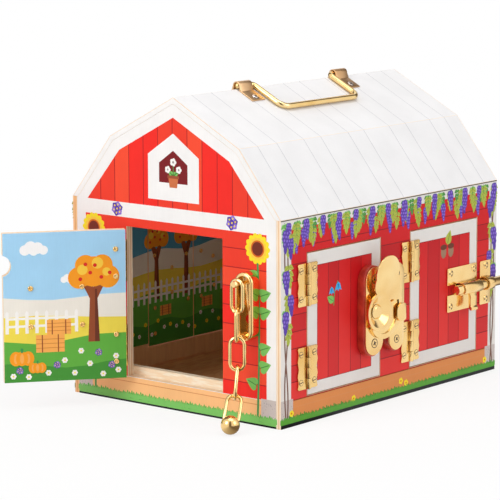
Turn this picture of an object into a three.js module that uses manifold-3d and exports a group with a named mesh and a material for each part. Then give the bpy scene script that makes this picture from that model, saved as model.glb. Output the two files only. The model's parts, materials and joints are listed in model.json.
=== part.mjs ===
import * as THREE from 'three';
import { mergeVertices } from 'three/addons/utils/BufferGeometryUtils.js';
import Module from 'manifold-3d';

// Toy barn with opening doors, in millimetres. The origin is the centre of the floor's
// underside, +Z is up, the front gable faces -Y and the two-door side wall faces +X.

const wasm = await Module();
wasm.setup();

// Body
const body_length = 330;
const body_width = 246;
const eave_height = 185;
const knee_height = 244;
const knee_half_width = 76;
const ridge_height = 284;
const gable_thickness = 8;
const side_thickness = 5;
const roof_thickness = 5;
const floor_thickness = 10;
const joint_gap = 0.2;
const seat_gap = 0.2;
const cut_overrun = 1;

// Doorways and doors
const front_doorway_width = 114;
const front_doorway_height = 139;
const side_doorway_width = 108.5;
const side_doorway_height = 129;
const doorway_sill = 24;
const front_side_doorway_margin = 36.25;
const doorway_post = 44.75;
const pair_doorway_width = 133;
const pair_doorway_height = 126;
const pair_doorway_sill = 27;
const pair_doorway_centre = -1.5;
const door_gap = 1.2;
const pair_meeting_gap = 1.2;
const front_door_angle = 128;
const notch_radius = 9.8;
const notch_outset = 2.4;
const notch_height = 132.2;
const threshold_height = 32;
const threshold_depth = 7;
const threshold_width = 136;

// Hinges
const leaf_height = 38;
const leaf_width = 13.4;
const leaf_corner = 1.2;
const leaf_thickness = 1.2;
const leaf_wave = 0.7;
const leaf_wave_count = 3;
const knuckle_radius = 2.3;
const knuckle_count = 4;
const knuckle_gap = 0.3;
const hinge_pin_radius = 1.1;
const hinge_pin_clearance = 0.3;
const hinge_end_margin = 7;
const hinge_head_drop = 2.4;
const front_hinge_lift = 3.4;
const front_hinge_drop = 12.1;
const pair_hinge_margin = 6;

// Carrying handle
const handle_wire = 5.5;
const handle_leg_spacing = 114;
const handle_reach = 40.5;
const handle_bend = 9;
const handle_pin_bend = 5;
const handle_offset = 3.5;
const handle_rest_tilt = 0.5;
const handle_clearance = 0.35;
const strap_spacing = 143;
const strap_width = 18;
const strap_thickness = 1.1;
const strap_reach = 21.5;

// Chain and its anchor on the front wall
const link_length = 32.4;
const link_width = 16;
const link_wire = 3.3;
const link_play = 0.3;
const chain_x = 89;
const chain_stand_off = 18.5;
const chain_top_height = 128.6;
const link_turns_deg = [0, -60, 35, -50, 35];
const link_leans_deg = [0, 0, 0, 22];
const knob_swing_deg = 25.5;
const knob_radius = 8.5;
const knob_floor_gap = 0.1;
const anchor_length = 61.5;
const anchor_width = 20;
const anchor_depth = 11;
const anchor_wall = 3;
const anchor_back = 1.6;
const anchor_rim_radius = 2.2;
const anchor_hole_radius = 4.2;
const anchor_hole_drop = 12;
const anchor_height = 107;
const peg_head_radius = 3.1;
const peg_head_thickness = 1.8;

// Chain track on the front door
const track_length = 58;
const track_width = 46;
const track_plate = 1.2;
const track_from_hinge = 64.8;
const track_height = 93.6;
const track_channel_length = 50;
const track_channel_width = 28;
const track_channel_depth = 8;
const track_wall = 1.4;
const track_slot = 5;
const track_hole_radius = 10;
const plate_corner = 5;

// Sash lock on the front door of the side wall
const sash_plate_width = 26;
const sash_plate_height = 81;
const sash_plate_thickness = 1.2;
const sash_block_thickness = 7.6;
const sash_block_margin = 1.2;
const sash_edge_distance = 21;
const sash_height = 88.5;
const sash_post_radius = 5;
const sash_head_radius = 7;
const sash_head_thickness = 2;
const sash_post_clearance = 0.4;
const hub_radius = 17.5;
const hub_floor_radius = 9;
const hub_depth = 4.2;
const lever_thickness = 1.5;
const lever_lift = 0.5;
const cam_reach = 37;
const cam_rim = 5;
const cam_rim_height = 3.4;
const tab_radius = 16.2;
const tab_distance = 36.6;
const tab_bearing_deg = 78;
const tab_tilt_deg = 9;
const tab_length = 37;
const tab_corner = 10;
const neck_spread = 26;
const neck_rise = 8;
const keeper_width = 22;
const keeper_door_gap = 1.6;
const hook_height = 16.4;
const hook_thickness = 1.4;
const hook_clearance = 0.7;
const hook_lip = 1.65;
const hook_fall = 5;
const hook_corner = 6;
const hook_root_margin = 2.4;
const hook_lip_margin = 4.8;

// Sliding bolt on the rear door of the side wall
const bolt_plate_width = 48;
const bolt_plate_height = 42;
const bolt_plate_thickness = 1.2;
const bolt_plate_edge = 0.6;
const bolt_height = 88.5;
const bolt_radius = 4.5;
const bolt_length = 78.5;
const bolt_overhang = 35.5;
const bolt_clearance = 0.4;
const barrel_length = 29;
const barrel_slot_from_deg = -54;
const bolt_handle_bearing_deg = -72;
const barrel_edge = 4;
const barrel_wall = 1.3;
const bolt_notch = 12.5;
const bolt_handle_width = 10;
const bolt_handle_from_edge = 17.4;
const bolt_handle_length = 13;
const bolt_handle_thickness = 2.6;
const bolt_keeper_width = 17.5;
const bolt_keeper_gap = 3.6;
const bolt_loop_width = 10;
const bolt_loop_margin = 1.5;

// Bar latch on the pair of doors
const latch_plate_width = 33;
const latch_plate_tall = 56;
const latch_plate_short = 36;
const latch_plate_thickness = 1.2;
const latch_edge = 3.5;
const latch_bar_height = 9;
const latch_bar_thickness = 3;
const latch_bar_reach = 24;
const latch_pivot_inset = 20;
const latch_post_radius = 2.6;
const latch_head_radius = 4.2;
const latch_head_thickness = 1.6;
const latch_clearance = 0.3;
const latch_hook_width = 8;
const latch_hook_wall = 2;
const latch_hook_lip = 5;
const latch_hook_inset = 13;
const latch_height = 88.5;
const latch_thumb_radius = 5.5;

const half_length = body_length / 2;
const half_width = body_width / 2;
const radians = THREE.MathUtils.degToRad;

// Materials
const finish = (color, roughness, metalness = 0) =>
  new THREE.MeshStandardMaterial({ color, roughness, metalness });
const red_boards = finish(0xd8302a, 0.5);
const white_paint = finish(0xf2f0ec, 0.55);
const bare_wood = finish(0xd9b382, 0.7);
const brass = finish(0xd9ab52, 0.28, 1);
const red_block = finish(0xc22a26, 0.5);

// Solids and meshes
function solidOf(geometry) {
  const bare = geometry.clone();
  for (const name of Object.keys(bare.attributes)) {
    if (name !== 'position') bare.deleteAttribute(name);
  }
  const merged = mergeVertices(bare, body_length * weld_share);
  const vertProperties = new Float32Array(merged.attributes.position.array);
  const triVerts = new Uint32Array(merged.index.array);
  return new wasm.Manifold(new wasm.Mesh({ numProp: 3, vertProperties, triVerts }));
}

function geometryOf(solid) {
  const mesh = solid.getMesh();
  const geometry = new THREE.BufferGeometry();
  const positions = new Float32Array(mesh.vertProperties);
  geometry.setAttribute('position', new THREE.BufferAttribute(positions, 3));
  geometry.setIndex(new THREE.BufferAttribute(new Uint32Array(mesh.triVerts), 1));
  geometry.computeVertexNormals();
  return geometry;
}

function piece(name, solid, material) {
  const mesh = new THREE.Mesh(geometryOf(solid), material);
  mesh.name = name;
  return mesh;
}

// Bases that lay a drawn outline on a face: its first axis, second axis and the way it grows
const basis = (a, b, c) =>
  new THREE.Matrix4().makeBasis(new THREE.Vector3(...a), new THREE.Vector3(...b), new THREE.Vector3(...c));
const upright_x = basis([0, 1, 0], [0, 0, 1], [1, 0, 0]);
const upright_y = basis([1, 0, 0], [0, 0, 1], [0, -1, 0]);
const upright_z = new THREE.Matrix4();
const weld_share = 1e-7;

function shapeOf(points) {
  return new THREE.Shape(points.map(([u, v]) => new THREE.Vector2(u, v)));
}

function extrude(shape, depth, turn = upright_z, curveSegments = 10) {
  const options = { depth, bevelEnabled: false, steps: 1, curveSegments };
  const geometry = new THREE.ExtrudeGeometry(shape, options);
  geometry.applyMatrix4(turn);
  return solidOf(geometry);
}

// A sheet or block on a face: outline in face coordinates, from height low to height high
function onFace(shape, low, high, curveSegments = 10) {
  return extrude(shape, high - low, upright_x, curveSegments).translate([low, 0, 0]);
}

// A block on a face whose outer edge is rounded all the way round
function roundedBlock(shape, low, high, radius) {
  const options = {
    depth: high - low - 2 * radius, bevelThickness: radius, bevelSize: radius, bevelOffset: -radius,
    bevelSegments: 4, steps: 1, curveSegments: 9,
  };
  const geometry = new THREE.ExtrudeGeometry(shape, options);
  geometry.applyMatrix4(upright_x);
  const pillow = solidOf(geometry).translate([low + radius, 0, 0]);
  return pillow.add(onFace(shape, low, high - 2 * radius, 9));
}

// A profile across the length of the barn, from front to back
function alongLength(shape, front, back, curveSegments = 10) {
  return extrude(shape, back - front, upright_y, curveSegments).translate([0, back, 0]);
}

function rectangle(u0, v0, u1, v1) {
  return shapeOf([[u0, v0], [u1, v0], [u1, v1], [u0, v1]]);
}

function roundedRectangle(u, v, width, height, radius) {
  const shape = new THREE.Shape();
  const a = width / 2 - radius;
  const b = height / 2 - radius;
  shape.absarc(u + a, v - b, radius, -Math.PI / 2, 0, false);
  shape.absarc(u + a, v + b, radius, 0, Math.PI / 2, false);
  shape.absarc(u - a, v + b, radius, Math.PI / 2, Math.PI, false);
  shape.absarc(u - a, v - b, radius, Math.PI, 1.5 * Math.PI, false);
  return shape;
}

function obround(u, v, width, height) {
  const shape = new THREE.Shape();
  const radius = width / 2;
  const reach = height / 2 - radius;
  shape.absarc(u, v + reach, radius, 0, Math.PI, false);
  shape.absarc(u, v - reach, radius, Math.PI, 2 * Math.PI, false);
  return shape;
}

function disc(u, v, radius) {
  const shape = new THREE.Shape();
  shape.absarc(u, v, radius, 0, 2 * Math.PI, false);
  return shape;
}

function arcPoints(u, v, radius, from, to, count) {
  const points = [];
  for (let i = 0; i <= count; i++) {
    const angle = radians(from + ((to - from) * i) / count);
    points.push([u + radius * Math.cos(angle), v + radius * Math.sin(angle)]);
  }
  return points;
}

// A round bar along +X, +Y or +Z between two values
function rod(axis, radius, from, to, sides = 16) {
  const geometry = new THREE.CylinderGeometry(radius, radius, to - from, sides);
  if (axis === 'x') geometry.rotateZ(-Math.PI / 2);
  if (axis === 'z') geometry.rotateX(Math.PI / 2);
  const middle = (from + to) / 2;
  const place = { x: [middle, 0, 0], y: [0, middle, 0], z: [0, 0, middle] }[axis];
  return solidOf(geometry).translate(place);
}

// A turned piece: profile of [radius, height] pairs about the outward axis +X
function turned(profile, segments = 28) {
  const geometry = new THREE.LatheGeometry(profile.map(([r, h]) => new THREE.Vector2(r, h)), segments);
  geometry.rotateZ(-Math.PI / 2);
  return outward(geometry);
}

function outward(geometry) {
  const solid = solidOf(geometry);
  if (solid.volume() > 0) return solid;
  const index = mergeVertices(geometry).index;
  const flipped = geometry.clone();
  if (!flipped.index) flipped.setIndex(index);
  const order = flipped.index.array;
  for (let i = 0; i < order.length; i += 3) [order[i], order[i + 1]] = [order[i + 1], order[i]];
  return solidOf(flipped);
}

// A round wire through points that lie in one plane
function planarWire(points, normal, radius, sides, closed) {
  const count = points.length;
  const rings = [];
  for (let i = 0; i < count; i++) {
    const before = points[closed ? (i + count - 1) % count : Math.max(i - 1, 0)];
    const after = points[closed ? (i + 1) % count : Math.min(i + 1, count - 1)];
    const along = new THREE.Vector3().subVectors(after, before).normalize();
    const across = new THREE.Vector3().crossVectors(normal, along);
    for (let k = 0; k < sides; k++) {
      const angle = (2 * Math.PI * (k + 1 / 2)) / sides;
      const out = across.clone().multiplyScalar(radius * Math.cos(angle));
      rings.push(out.addScaledVector(normal, radius * Math.sin(angle)).add(points[i]));
    }
  }
  const faces = [];
  const spans = closed ? count : count - 1;
  for (let i = 0; i < spans; i++) {
    for (let k = 0; k < sides; k++) {
      const a = i * sides + k;
      const b = i * sides + ((k + 1) % sides);
      const c = ((i + 1) % count) * sides + k;
      const d = ((i + 1) % count) * sides + ((k + 1) % sides);
      faces.push(a, b, c, b, d, c);
    }
  }
  if (!closed) {
    const last = (count - 1) * sides;
    for (let k = 1; k < sides - 1; k++) faces.push(0, k + 1, k, last, last + k, last + k + 1);
  }
  const geometry = new THREE.BufferGeometry();
  geometry.setAttribute('position', new THREE.Float32BufferAttribute(rings.flatMap((p) => p.toArray()), 3));
  geometry.setIndex(faces);
  return outward(geometry);
}

function group(x, y, z, turn = 0) {
  const made = new THREE.Group();
  made.position.set(x, y, z);
  made.rotation.z = radians(turn);
  return made;
}

// Roof line: eave, knee and ridge on one side, set in from the outer face by a distance
function roofLine(inset) {
  const outer = [[half_width, eave_height], [knee_half_width, knee_height], [0, ridge_height]];
  const lines = [0, 1].map((i) => {
    const [x0, z0] = outer[i];
    const [x1, z1] = outer[i + 1];
    const size = Math.hypot(x1 - x0, z1 - z0);
    const nx = (z0 - z1) / size;
    const nz = (x1 - x0) / size;
    return { x: x0 + nx * inset, z: z0 + nz * inset, dx: x1 - x0, dz: z1 - z0 };
  });
  const [low, high] = lines;
  const eave = [low.x + (low.dx * (eave_height - low.z)) / low.dz, eave_height];
  const cross = low.dx * high.dz - low.dz * high.dx;
  const t = ((high.x - low.x) * high.dz - (high.z - low.z) * high.dx) / cross;
  const knee = [low.x + low.dx * t, low.z + low.dz * t];
  const ridge = [0, high.z - (high.dz * high.x) / high.dx];
  return [eave, knee, ridge];
}

// Walls, floor and roof
const wall_face = half_width - side_thickness;
const gable_face = half_length - gable_thickness;

function gableShape() {
  const reach = wall_face - joint_gap;
  const [eave, knee, ridge] = roofLine(roof_thickness + joint_gap);
  const right = [[reach, 0], [reach, eave_height - joint_gap], eave, knee];
  const left = right.map(([x, z]) => [-x, z]).reverse();
  return shapeOf([...right, ridge, ...left]);
}

function frontWall() {
  const half = front_doorway_width / 2;
  const doorway = rectangle(-half, doorway_sill, half, doorway_sill + front_doorway_height);
  const opening = alongLength(doorway, -half_length - cut_overrun, -gable_face + cut_overrun);
  return alongLength(gableShape(), -half_length, -gable_face).subtract(opening);
}

function sideWall(side, doorways) {
  const inner = side * wall_face;
  const outer = side * half_width;
  const [low, high] = [Math.min(inner, outer), Math.max(inner, outer)];
  let wall = onFace(rectangle(-half_length, 0, half_length, eave_height - joint_gap), low, high);
  for (const [from, to, sill, head] of doorways) {
    wall = wall.subtract(onFace(rectangle(from, sill, to, head), low - cut_overrun, high + cut_overrun));
  }
  return wall;
}

function roofPanel(side, part) {
  const outer = roofLine(0);
  const inner = roofLine(roof_thickness);
  const ends = [outer[part], outer[part + 1], inner[part + 1], inner[part]];
  return alongLength(shapeOf(ends.map(([x, z]) => [side * x, z])), -half_length, half_length);
}

const first_doorway = -half_length + front_side_doorway_margin;
const second_doorway = first_doorway + side_doorway_width + doorway_post;
const side_doorways = [first_doorway, second_doorway].map((from) =>
  [from, from + side_doorway_width, doorway_sill, doorway_sill + side_doorway_height]);
const pair_from = pair_doorway_centre - pair_doorway_width / 2;
const pair_to = pair_doorway_centre + pair_doorway_width / 2;
const pair_top = pair_doorway_sill + pair_doorway_height;

const barn = new THREE.Group();
const floor_half = wall_face - joint_gap;
const floor_reach = gable_face - joint_gap;
const floor_shape = rectangle(-floor_half, -floor_reach, floor_half, floor_reach);
const threshold_front = -gable_face + joint_gap;
const threshold_base = floor_thickness + joint_gap;
const threshold_half = threshold_width / 2;
const threshold_shape = rectangle(-threshold_half, threshold_base, threshold_half, threshold_height);
barn.add(
  piece('floor_panel', extrude(floor_shape, floor_thickness), bare_wood),
  piece('front_wall', frontWall(), red_boards),
  piece('back_wall', alongLength(gableShape(), gable_face, half_length), red_boards),
  piece('right_wall', sideWall(1, side_doorways), red_boards),
  piece('left_wall', sideWall(-1, [[pair_from, pair_to, pair_doorway_sill, pair_top]]), red_boards),
  piece('roof_right_lower', roofPanel(1, 0), white_paint),
  piece('roof_right_upper', roofPanel(1, 1), white_paint),
  piece('roof_left_lower', roofPanel(-1, 0), white_paint),
  piece('roof_left_upper', roofPanel(-1, 1), white_paint),
  piece(
    'threshold_strip',
    alongLength(threshold_shape, threshold_front, threshold_front + threshold_depth),
    bare_wood,
  ),
);

// Hinge leaves about their own pin: +X is outward, the wall or door face is one knuckle radius
// behind the pin, the frame leaf lies towards -Y and the door leaf towards +Y
function knuckleSpan(i, gap) {
  const band = leaf_height / knuckle_count;
  const low = i === 0 ? 0 : i * band + gap / 2;
  const high = i === knuckle_count - 1 ? leaf_height : (i + 1) * band - gap / 2;
  return [low, high];
}

function leafOutline(towards, owns) {
  const clear = knuckle_radius + knuckle_gap;
  const points = [];
  for (let i = 0; i < knuckle_count; i++) {
    const [low, high] = knuckleSpan(i, owns(i) ? knuckle_gap : -knuckle_gap);
    const edge = owns(i) ? 0 : clear;
    points.push([towards * edge, low], [towards * edge, high]);
  }
  const steps = leaf_wave_count * 4;
  const end = leaf_width + leaf_wave;
  points.push([towards * (end - leaf_corner), leaf_height], [towards * end, leaf_height - leaf_corner]);
  for (let i = steps - 1; i > 0; i--) {
    const wave = leaf_wave * Math.cos((2 * Math.PI * leaf_wave_count * i) / steps);
    points.push([towards * (leaf_width + wave), (leaf_height * i) / steps]);
  }
  points.push([towards * end, leaf_corner], [towards * (end - leaf_corner), 0]);
  return shapeOf(points);
}

function hingeLeaf(towards, owns, pinned) {
  const face = -knuckle_radius + seat_gap;
  let leaf = onFace(leafOutline(towards, owns), face, face + leaf_thickness);
  for (let i = 0; i < knuckle_count; i++) {
    if (!owns(i)) continue;
    const [low, high] = knuckleSpan(i, knuckle_gap);
    leaf = leaf.add(rod('z', knuckle_radius - seat_gap, low, high, 12));
  }
  if (pinned) return leaf.add(rod('z', hinge_pin_radius, 0, leaf_height, 8));
  const bore = hinge_pin_radius + hinge_pin_clearance;
  return leaf.subtract(rod('z', bore, -cut_overrun, leaf_height + cut_overrun, 8));
}

const evens = (i) => i % 2 === 0;
const odds = (i) => i % 2 === 1;

// A doorway's fixed group and the door's own group share the pin axis; hand -1 swings the other way
function hungDoor(name, { x, y, turn, hand, angle, heights }) {
  const fixed = group(x, y, 0, turn);
  const door = group(x, y, 0, turn - hand * angle);
  ['lower', 'upper'].forEach((level, i) => {
    const frame = piece(`${name}_hinge_${level}_frame_leaf`, hingeLeaf(-hand, evens, true), brass);
    const swing = piece(`${name}_hinge_${level}_door_leaf`, hingeLeaf(hand, odds, false), brass);
    frame.position.z = heights[i];
    swing.position.z = heights[i];
    fixed.add(frame);
    door.add(swing);
  });
  barn.add(fixed, door);
  return door;
}

function doorPanel(hand, width, low, high, thickness, notched) {
  const shape = rectangle(hand * door_gap, low, hand * (door_gap + width), high);
  let panel = onFace(shape, -knuckle_radius - thickness, -knuckle_radius);
  if (notched) {
    const bite = disc(hand * (door_gap + width + notch_outset), notch_height, notch_radius);
    panel = panel.subtract(onFace(bite, -knuckle_radius - thickness - cut_overrun, cut_overrun, 14));
  }
  return panel;
}

// Front door
const door_low = doorway_sill + door_gap;
const front_door_high = doorway_sill + front_doorway_height - door_gap;
const front_door_width = front_doorway_width - 2 * door_gap;
const lower_hinge = doorway_sill + hinge_end_margin;
const side_head = doorway_sill + side_doorway_height;
const upper_hinge = side_head - hinge_end_margin - hinge_head_drop - leaf_height;
const front_upper_hinge = doorway_sill + front_doorway_height - front_hinge_drop - leaf_height;
const front_door = hungDoor('front_door', {
  x: -front_doorway_width / 2,
  y: -half_length - knuckle_radius,
  turn: -90,
  hand: 1,
  angle: front_door_angle,
  heights: [lower_hinge + front_hinge_lift, front_upper_hinge],
});
front_door.add(
  piece(
    'front_door',
    doorPanel(1, front_door_width, door_low, front_door_high, gable_thickness, true),
    red_boards,
  ),
);

// Chain track: a plate with a raised channel, slotted for the chain and round for its knob
function chainTrack() {
  const u = track_from_hinge;
  const v = track_height;
  const low = -knuckle_radius + seat_gap;
  const top = low + track_plate + track_channel_depth;
  const outline = roundedRectangle(u, v, track_length, track_width, plate_corner);
  const plate = onFace(outline, low, low + track_plate, 5);
  const turnedChannel = (width, length) => roundedRectangle(u, v, length, width, width / 2 - joint_gap);
  const shell = onFace(turnedChannel(track_channel_width, track_channel_length), low, top, 7);
  const inner_width = track_channel_width - 2 * track_wall;
  const inner_length = track_channel_length - 2 * track_wall;
  const hollow = onFace(turnedChannel(inner_width, inner_length), low + track_plate, top - track_wall, 7);
  const hole_u = u + track_channel_length / 2 - track_wall - track_hole_radius;
  const slot_end = u - track_channel_length / 2 + track_wall + track_slot;
  const slot_shape = rectangle(slot_end, v - track_slot / 2, hole_u, v + track_slot / 2);
  const slot = onFace(slot_shape, low + track_plate, top + cut_overrun);
  const hole = onFace(disc(hole_u, v, track_hole_radius), low + track_plate, top + cut_overrun, 10);
  return plate.add(shell).subtract(hollow).subtract(slot.add(hole));
}
front_door.add(piece('chain_track', chainTrack(), brass));

// Doors of the side wall
const side_door_width = side_doorway_width - 2 * door_gap;
const side_door_high = side_head - door_gap;
const side_hinges = [lower_hinge, upper_hinge];
const pin_x = half_width + knuckle_radius;
const side_panel = () => doorPanel(1, side_door_width, door_low, side_door_high, side_thickness, false);
const side_hang = { x: pin_x, turn: 0, hand: 1, angle: 0, heights: side_hinges };
const right_front_door = hungDoor('right_front_door', { ...side_hang, y: first_doorway });
const right_rear_door = hungDoor('right_rear_door', { ...side_hang, y: second_doorway });
right_front_door.add(piece('right_front_door', side_panel(), red_boards));
right_rear_door.add(piece('right_rear_door', side_panel(), red_boards));

// Sash lock: block, base plate with its post, dished lever with a spiral cam, and a hooked keeper
const door_face = -knuckle_radius + seat_gap;
const sash_u = side_doorway_width - sash_edge_distance;
const sash_plate_top = door_face + sash_block_thickness + seat_gap + sash_plate_thickness;

function sashBlock(u, width) {
  const margin = 2 * sash_block_margin;
  const shape = obround(u, sash_height, width + margin, sash_plate_height + margin);
  return onFace(shape, door_face, door_face + sash_block_thickness, 8);
}

function sashPlate(u, width) {
  const shape = obround(u, sash_height, width, sash_plate_height);
  return onFace(shape, sash_plate_top - sash_plate_thickness, sash_plate_top, 8);
}

function sashBase() {
  const head_low = sash_plate_top + lever_lift + lever_thickness + sash_post_clearance;
  const overlap = sash_plate_thickness / 2;
  const post = rod('x', sash_post_radius, sash_plate_top - overlap, head_low + overlap, 16);
  const rise = sash_head_thickness;
  const head = turned([[0, 0], [sash_head_radius, 0], [sash_post_radius, rise], [0, rise]], 16);
  const knob = post.add(head.translate([head_low, 0, 0]));
  return sashPlate(sash_u, sash_plate_width).add(knob.translate([0, sash_u, sash_height]));
}

// The lever about its own post: bearings are measured from +Y towards +Z
function camEdge(count) {
  const from = -118;
  const to = 14;
  const points = [];
  for (let i = 0; i <= count; i++) {
    const share = i / count;
    const radius = hub_radius + (cam_reach - hub_radius) * Math.sin((share * Math.PI) / 2);
    const angle = radians(from + (to - from) * share);
    points.push([radius, angle]);
  }
  return points;
}

function polar([radius, angle]) {
  return [radius * Math.cos(angle), radius * Math.sin(angle)];
}

function sashLever() {
  const bore = sash_post_radius + sash_post_clearance;
  const low = lever_lift;
  const rim_low = low + hub_depth;
  const t = lever_thickness;
  const dish = turned([
    [bore, low], [hub_floor_radius, low], [hub_radius - t, rim_low], [hub_radius, rim_low],
    [hub_radius, rim_low + t], [hub_radius - 2 * t, rim_low + t],
    [hub_floor_radius - t / 2, low + t], [bore, low + t], [bore, low],
  ]);
  const edge = camEdge(16);
  const web_back = edge.map(([, angle]) => polar([hub_floor_radius, angle])).reverse();
  const web = onFace(shapeOf([...edge.map(polar), ...web_back]), low, low + t);
  const inward = ([radius, angle]) => polar([Math.max(radius - cam_rim, hub_floor_radius), angle]);
  const inner = edge.map(inward).reverse();
  const rim = onFace(shapeOf([...edge.map(polar), ...inner]), low, low + cam_rim_height);
  const tab_u = tab_distance * Math.cos(radians(tab_bearing_deg));
  const tab_v = tab_distance * Math.sin(radians(tab_bearing_deg));
  const tab_foot = tab_v + tab_radius - tab_length;
  const tab_middle = (tab_foot + tab_v) / 2;
  const lobe = roundedRectangle(tab_u, tab_middle, 2 * tab_radius, tab_v - tab_foot, tab_corner);
  const neck = shapeOf([
    [tab_u, tab_foot - neck_rise / 2],
    [tab_u + neck_spread - neck_rise, neck_rise],
    [tab_u + neck_spread, neck_rise],
    [tab_u + neck_spread - neck_rise / 2, tab_foot],
    [tab_u + tab_radius, tab_v - neck_rise / 2],
    [tab_u, tab_v - neck_rise / 2],
  ]);
  const head = onFace(disc(tab_u, tab_v, tab_radius), 0, t, 14);
  const blade = head.add(onFace(lobe, 0, t, 6)).add(onFace(neck, 0, t));
  const hinge_out = hub_radius - t;
  const lean = blade
    .rotate([-tab_bearing_deg, 0, 0])
    .translate([0, -hinge_out, 0])
    .rotate([0, 0, -tab_tilt_deg])
    .translate([rim_low, hinge_out, 0])
    .rotate([tab_bearing_deg, 0, 0]);
  return dish.add(web).add(rim).add(lean.subtract(rod('x', hub_floor_radius, 0, hub_radius)));
}

// The keeper's hook: a strip that rises behind the cam's edge and turns back over it
const keeper_u = side_doorway_width + keeper_door_gap + keeper_width / 2;

function sashKeeper() {
  const low = sash_plate_top - sash_plate_thickness / 2;
  const under = sash_plate_top + lever_lift + cam_rim_height + hook_clearance;
  const top = under + hook_thickness;
  const root = keeper_u + keeper_width / 2 - hook_root_margin;
  const tip = keeper_u - keeper_width / 2 + hook_lip_margin;
  const bend = hook_thickness * 2;
  const outer = arcPoints(top - bend, root - bend, bend, 90, 0, 4);
  const inner = arcPoints(top - bend, root - bend, bend - hook_thickness, 0, 90, 4);
  const profile = shapeOf([
    [low, root], ...outer,
    [top, tip + bend / 2], [top - hook_thickness / 2, tip], [top - hook_lip, tip],
    [under, tip + hook_thickness], ...inner,
    [low, root - hook_thickness],
  ]);
  const hook_level = sash_height - hook_fall;
  const strip = extrude(profile, hook_height).translate([0, 0, hook_level - hook_height / 2]);
  const plan = roundedRectangle((root + tip) / 2, hook_level, root - tip, hook_height, hook_corner);
  const hook = strip.intersect(onFace(plan, low - cut_overrun, top + cut_overrun, 6));
  return sashPlate(keeper_u, keeper_width).add(hook);
}

const lever = group(sash_plate_top, sash_u, sash_height);
lever.add(piece('sash_lever', sashLever(), brass));
right_front_door.add(
  piece('sash_block', sashBlock(sash_u, sash_plate_width), red_block),
  piece('sash_base', sashBase(), brass),
  lever,
);
const sash_wall = group(pin_x, first_doorway, 0);
sash_wall.add(
  piece('sash_keeper_block', sashBlock(keeper_u, keeper_width - 2 * sash_block_margin), red_block),
  piece('sash_keeper', sashKeeper(), brass),
);
barn.add(sash_wall);

// Sliding bolt: plate with a slotted barrel, bolt with a hanging handle, keeper with a loop
const bolt_plate_top = door_face + bolt_plate_thickness;
const bolt_w = bolt_plate_top + bolt_clearance + bolt_radius;
const bolt_plate_to = side_doorway_width - door_gap - bolt_plate_edge;
const barrel_inner = bolt_radius + bolt_clearance;
const barrel_outer = barrel_inner + barrel_wall;

// The part of an arch over the bolt between two bearings, with a leg down to the plate
function arch(from, to, leg) {
  const low = bolt_plate_top - bolt_plate_thickness / 2;
  const side = Math.sign(leg);
  const outer = arcPoints(bolt_w, bolt_height, barrel_outer, from, to, 6);
  const inner = arcPoints(bolt_w, bolt_height, barrel_inner, to, from, 6);
  const foot = [[low, bolt_height + side * barrel_outer], [low, bolt_height + side * barrel_inner]];
  return shapeOf([...outer, ...foot, ...inner]);
}

function boltSheet(from, width) {
  const centre = from + width / 2;
  const outline = roundedRectangle(centre, bolt_height, width, bolt_plate_height, bolt_plate_thickness);
  return onFace(outline, door_face, bolt_plate_top, 3);
}

function boltPlate() {
  const from = bolt_plate_to - bolt_plate_width;
  const half = barrel_inner;
  const notch = rectangle(from - cut_overrun, bolt_height - half, from + bolt_notch, bolt_height + half);
  const bite = onFace(notch, door_face - cut_overrun, bolt_plate_top + cut_overrun);
  const plate = boltSheet(from, bolt_plate_width).subtract(bite);
  const barrel_to = bolt_plate_to - barrel_edge;
  const along = (shape) => extrude(shape, barrel_length, upright_y).translate([0, barrel_to, 0]);
  const low = bolt_plate_top - bolt_plate_thickness / 2;
  const leg = rectangle(low, bolt_height - barrel_outer, bolt_w - bolt_clearance, bolt_height - barrel_inner);
  return plate.add(along(arch(barrel_slot_from_deg, 90, 1))).add(along(leg));
}

function slideBolt() {
  const to = side_doorway_width + bolt_overhang;
  const shaft = rod('y', bolt_radius, to - bolt_length, to, 16);
  const handle_u = bolt_plate_to - bolt_handle_from_edge;
  const t = bolt_handle_thickness;
  const out = barrel_outer + t;
  const bearing = radians(bolt_handle_bearing_deg);
  const dir = [Math.cos(bearing), Math.sin(bearing)];
  const nor = [-dir[1], dir[0]];
  const at = (r, s) => [dir[0] * r + nor[0] * s, dir[1] * r + nor[1] * s];
  const [knee_w, knee_v] = at(out, 0);
  const foot = knee_v - bolt_handle_length;
  const profile = shapeOf([
    at(bolt_radius / 2, t / 2), at(bolt_radius / 2, -t / 2), at(out - t / 2, -t / 2),
    [knee_w - t / 2, foot + t], [knee_w, foot], [knee_w + t, foot], [knee_w + t, foot + t],
    [knee_w + t / 2, foot + t * 1.5], [knee_w + t / 2, knee_v], at(out, t / 2),
  ]);
  const half = bolt_handle_width / 2;
  const handle = extrude(profile, 2 * half, upright_y).translate([0, handle_u + half, 0]);
  return shaft.add(handle).translate([bolt_w, 0, bolt_height]);
}

function boltKeeper() {
  const from = side_doorway_width + bolt_keeper_gap;
  const loop_to = from + bolt_loop_margin + bolt_loop_width;
  const plate = boltSheet(from, bolt_keeper_width);
  const along = (shape) => extrude(shape, bolt_loop_width, upright_y).translate([0, loop_to, 0]);
  return plate.add(along(arch(-cut_overrun, 90, 1))).add(along(arch(cut_overrun, -90, -1)));
}

right_rear_door.add(piece('bolt_plate', boltPlate(), brass), piece('slide_bolt', slideBolt(), brass));
const bolt_wall = group(pin_x, second_doorway, 0);
bolt_wall.add(piece('bolt_keeper', boltKeeper(), brass));
barn.add(bolt_wall);

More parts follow.
